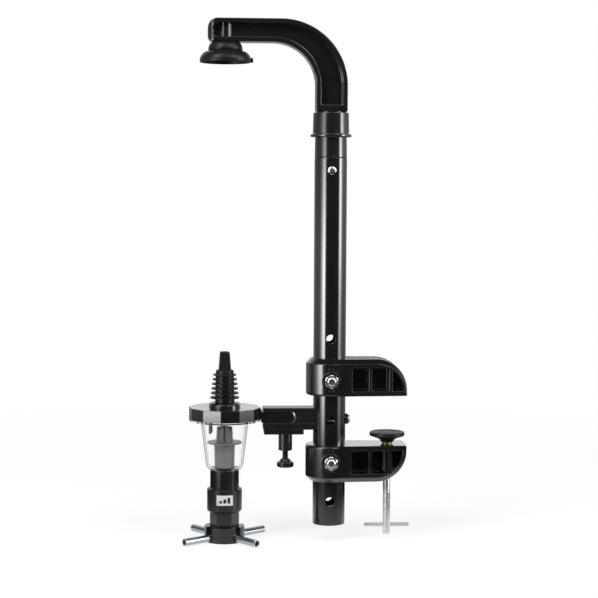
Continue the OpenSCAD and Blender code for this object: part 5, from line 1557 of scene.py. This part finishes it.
# and the white wall behind, from just above the horizon upwards
WALL = [(-180, 0.75), (-150, 0.7), (-136, 0.35), (-122, 0.0), (122, 0.0), (140, 0.4), (155, 0.75),
        (180, 0.75)]
WALL_RISE = [(6.3, 0.0), (7.1, 1.0), (40, 1.0), (60, 0.0)]
BOX_PEAK = 15.0
# The room's light fades out between these heights
CEILING_START = 35
CEILING_END = 60
LAMP_AIM = Vector((-0.08, 0.0, 0.08))
FLOOR_GLOW = 0.75
# The floor's painted glow, seen only in reflections, is white up to the near distance and dark beyond
# the far one, in metres
MIRROR_NEAR = 0.12
MIRROR_FAR = 0.3


def ramp(build, value, points, half):
    """A level that follows (degrees, level) points, from minus half to plus half."""
    share = build.span(value, math.radians(-half), math.radians(half))
    node = build.add("ShaderNodeValToRGB", {0: share})
    node.color_ramp.interpolation = "LINEAR"
    stops = node.color_ramp.elements
    for index, (degrees, level) in enumerate(points):
        position = (degrees + half) / (2 * half)
        stop = stops[index] if index < 2 else stops.new(position)
        stop.position = position
        stop.color = (level, level, level, 1.0)
    return node.outputs["Color"]


def make_world():
    """White to the camera and through clear plastic; elsewhere a dim room with two tall soft boxes."""
    world = bpy.data.worlds.new("studio")
    bpy.context.scene.world = world
    world.use_nodes = True
    build = Tree(world.node_tree)
    parts = build.add("ShaderNodeSeparateXYZ",
                      {0: build.add("ShaderNodeTexCoord").outputs["Generated"]}).outputs
    angle = build.math("ARCTAN2", parts["X"], build.times(parts["Y"], -1.0))
    turned = build.plus(angle, math.radians(CAMERA_TURN))
    around = build.add("ShaderNodeMath", {0: turned, 1: math.pi, 2: -math.pi},
                       operation="WRAP").outputs[0]
    height = build.math("ARCSINE", parts["Z"])

    def lit(round_it, rise):
        return build.times(ramp(build, around, round_it, 180), ramp(build, height, rise, 90))

    boxes = build.times(build.plus(lit(LEFT_BOX, LEFT_RISE), lit(RIGHT_BOX, RIGHT_RISE)), BOX_PEAK)
    boxes = build.plus(boxes, build.times(lit(TOP_BOX, TOP_RISE), TOP_PEAK))
    ceiling = build.span(height, math.radians(CEILING_END), math.radians(CEILING_START))
    room = build.times(ramp(build, around, ROOM, 180), ceiling)
    wall = lit(WALL, WALL_RISE)
    total = build.plus(build.plus(boxes, room), wall)
    path = build.add("ShaderNodeLightPath").outputs
    seen = build.math("MAXIMUM", path["Is Camera Ray"], path["Is Transmission Ray"])
    studio = build.add("ShaderNodeBackground", {"Color": WHITE, "Strength": total})
    white = build.add("ShaderNodeBackground", {"Color": WHITE, "Strength": 1.0})
    both = build.add("ShaderNodeMixShader", {0: seen, 1: studio.outputs[0], 2: white.outputs[0]})
    build.add("ShaderNodeOutputWorld", {"Surface": both.outputs[0]})


def make_lamps():
    """Two big soft lamps high in front."""
    for name, place_at, power in (
        ("left_lamp", (-1500.0, -1500.0, 1900.0), 34.0),
        ("right_lamp", (1300.0, -1700.0, 1800.0), 24.0),
    ):
        data = bpy.data.lights.new(name, "AREA")
        data.shape = "DISK"
        data.size = 1.5
        data.energy = power
        lamp = bpy.data.objects.new(name, data)
        spot = Vector(place_at) * MM
        lamp.location = spot
        lamp.rotation_euler = (LAMP_AIM - spot).to_track_quat("-Z", "Y").to_euler()
        bpy.context.scene.collection.objects.link(lamp)


def make_floor():
    """A round pale floor just under the prongs' hub, faded out at its rim."""
    radius = 1.1
    bm = bmesh.new()
    bmesh.ops.create_circle(bm, cap_ends=True, segments=96, radius=radius)
    mesh = bpy.data.meshes.new("floor")
    bm.to_mesh(mesh)
    bm.free()
    centre = Vector((COLUMN_X - 40, 0.0, HUB_LOW - 0.3)) * MM
    mesh.transform(Matrix.Translation(centre))
    floor = bpy.data.objects.new("floor", mesh)
    bpy.context.scene.collection.objects.link(floor)
    material, build = new_material("pale_floor")
    where = build.add("ShaderNodeTexCoord").outputs["Object"]
    away = build.add("ShaderNodeVectorMath", {0: where, 1: centre},
                     operation="DISTANCE").outputs["Value"]
    fade = build.span(away, radius * 0.5, radius * 0.98)
    paint = build.add("ShaderNodeBsdfDiffuse", {"Color": (0.35, 0.35, 0.35, 1.0)})
    glow = build.add("ShaderNodeEmission", {"Color": WHITE, "Strength": FLOOR_GLOW})
    shown = build.add("ShaderNodeAddShader", {0: glow.outputs[0], 1: paint.outputs[0]})
    # Seen in reflections, the floor is a painted glow, white near the object and dark farther out
    near = build.span(away, MIRROR_FAR, MIRROR_NEAR, 0.0, FLOOR_GLOW)
    glow_in_reflections = build.add("ShaderNodeEmission", {"Color": WHITE, "Strength": near})
    path = build.add("ShaderNodeLightPath").outputs
    first = build.add("ShaderNodeMixShader",
                      {0: path["Is Glossy Ray"], 1: paint.outputs[0], 2: glow_in_reflections.outputs[0]})
    seen = build.math("MAXIMUM", path["Is Camera Ray"], path["Is Transmission Ray"])
    surface = build.add("ShaderNodeMixShader", {0: seen, 1: first.outputs[0], 2: shown.outputs[0]})
    nothing = build.add("ShaderNodeBsdfTransparent")
    faded = build.add("ShaderNodeMixShader",
                      {0: fade, 1: surface.outputs[0], 2: nothing.outputs[0]})
    build.add("ShaderNodeOutputMaterial", {"Surface": faded.outputs[0]})
    mesh.materials.append(material)


make_camera()
make_world()
make_lamps()
make_floor()
bpy.context.scene.view_settings.view_transform = "Standard"
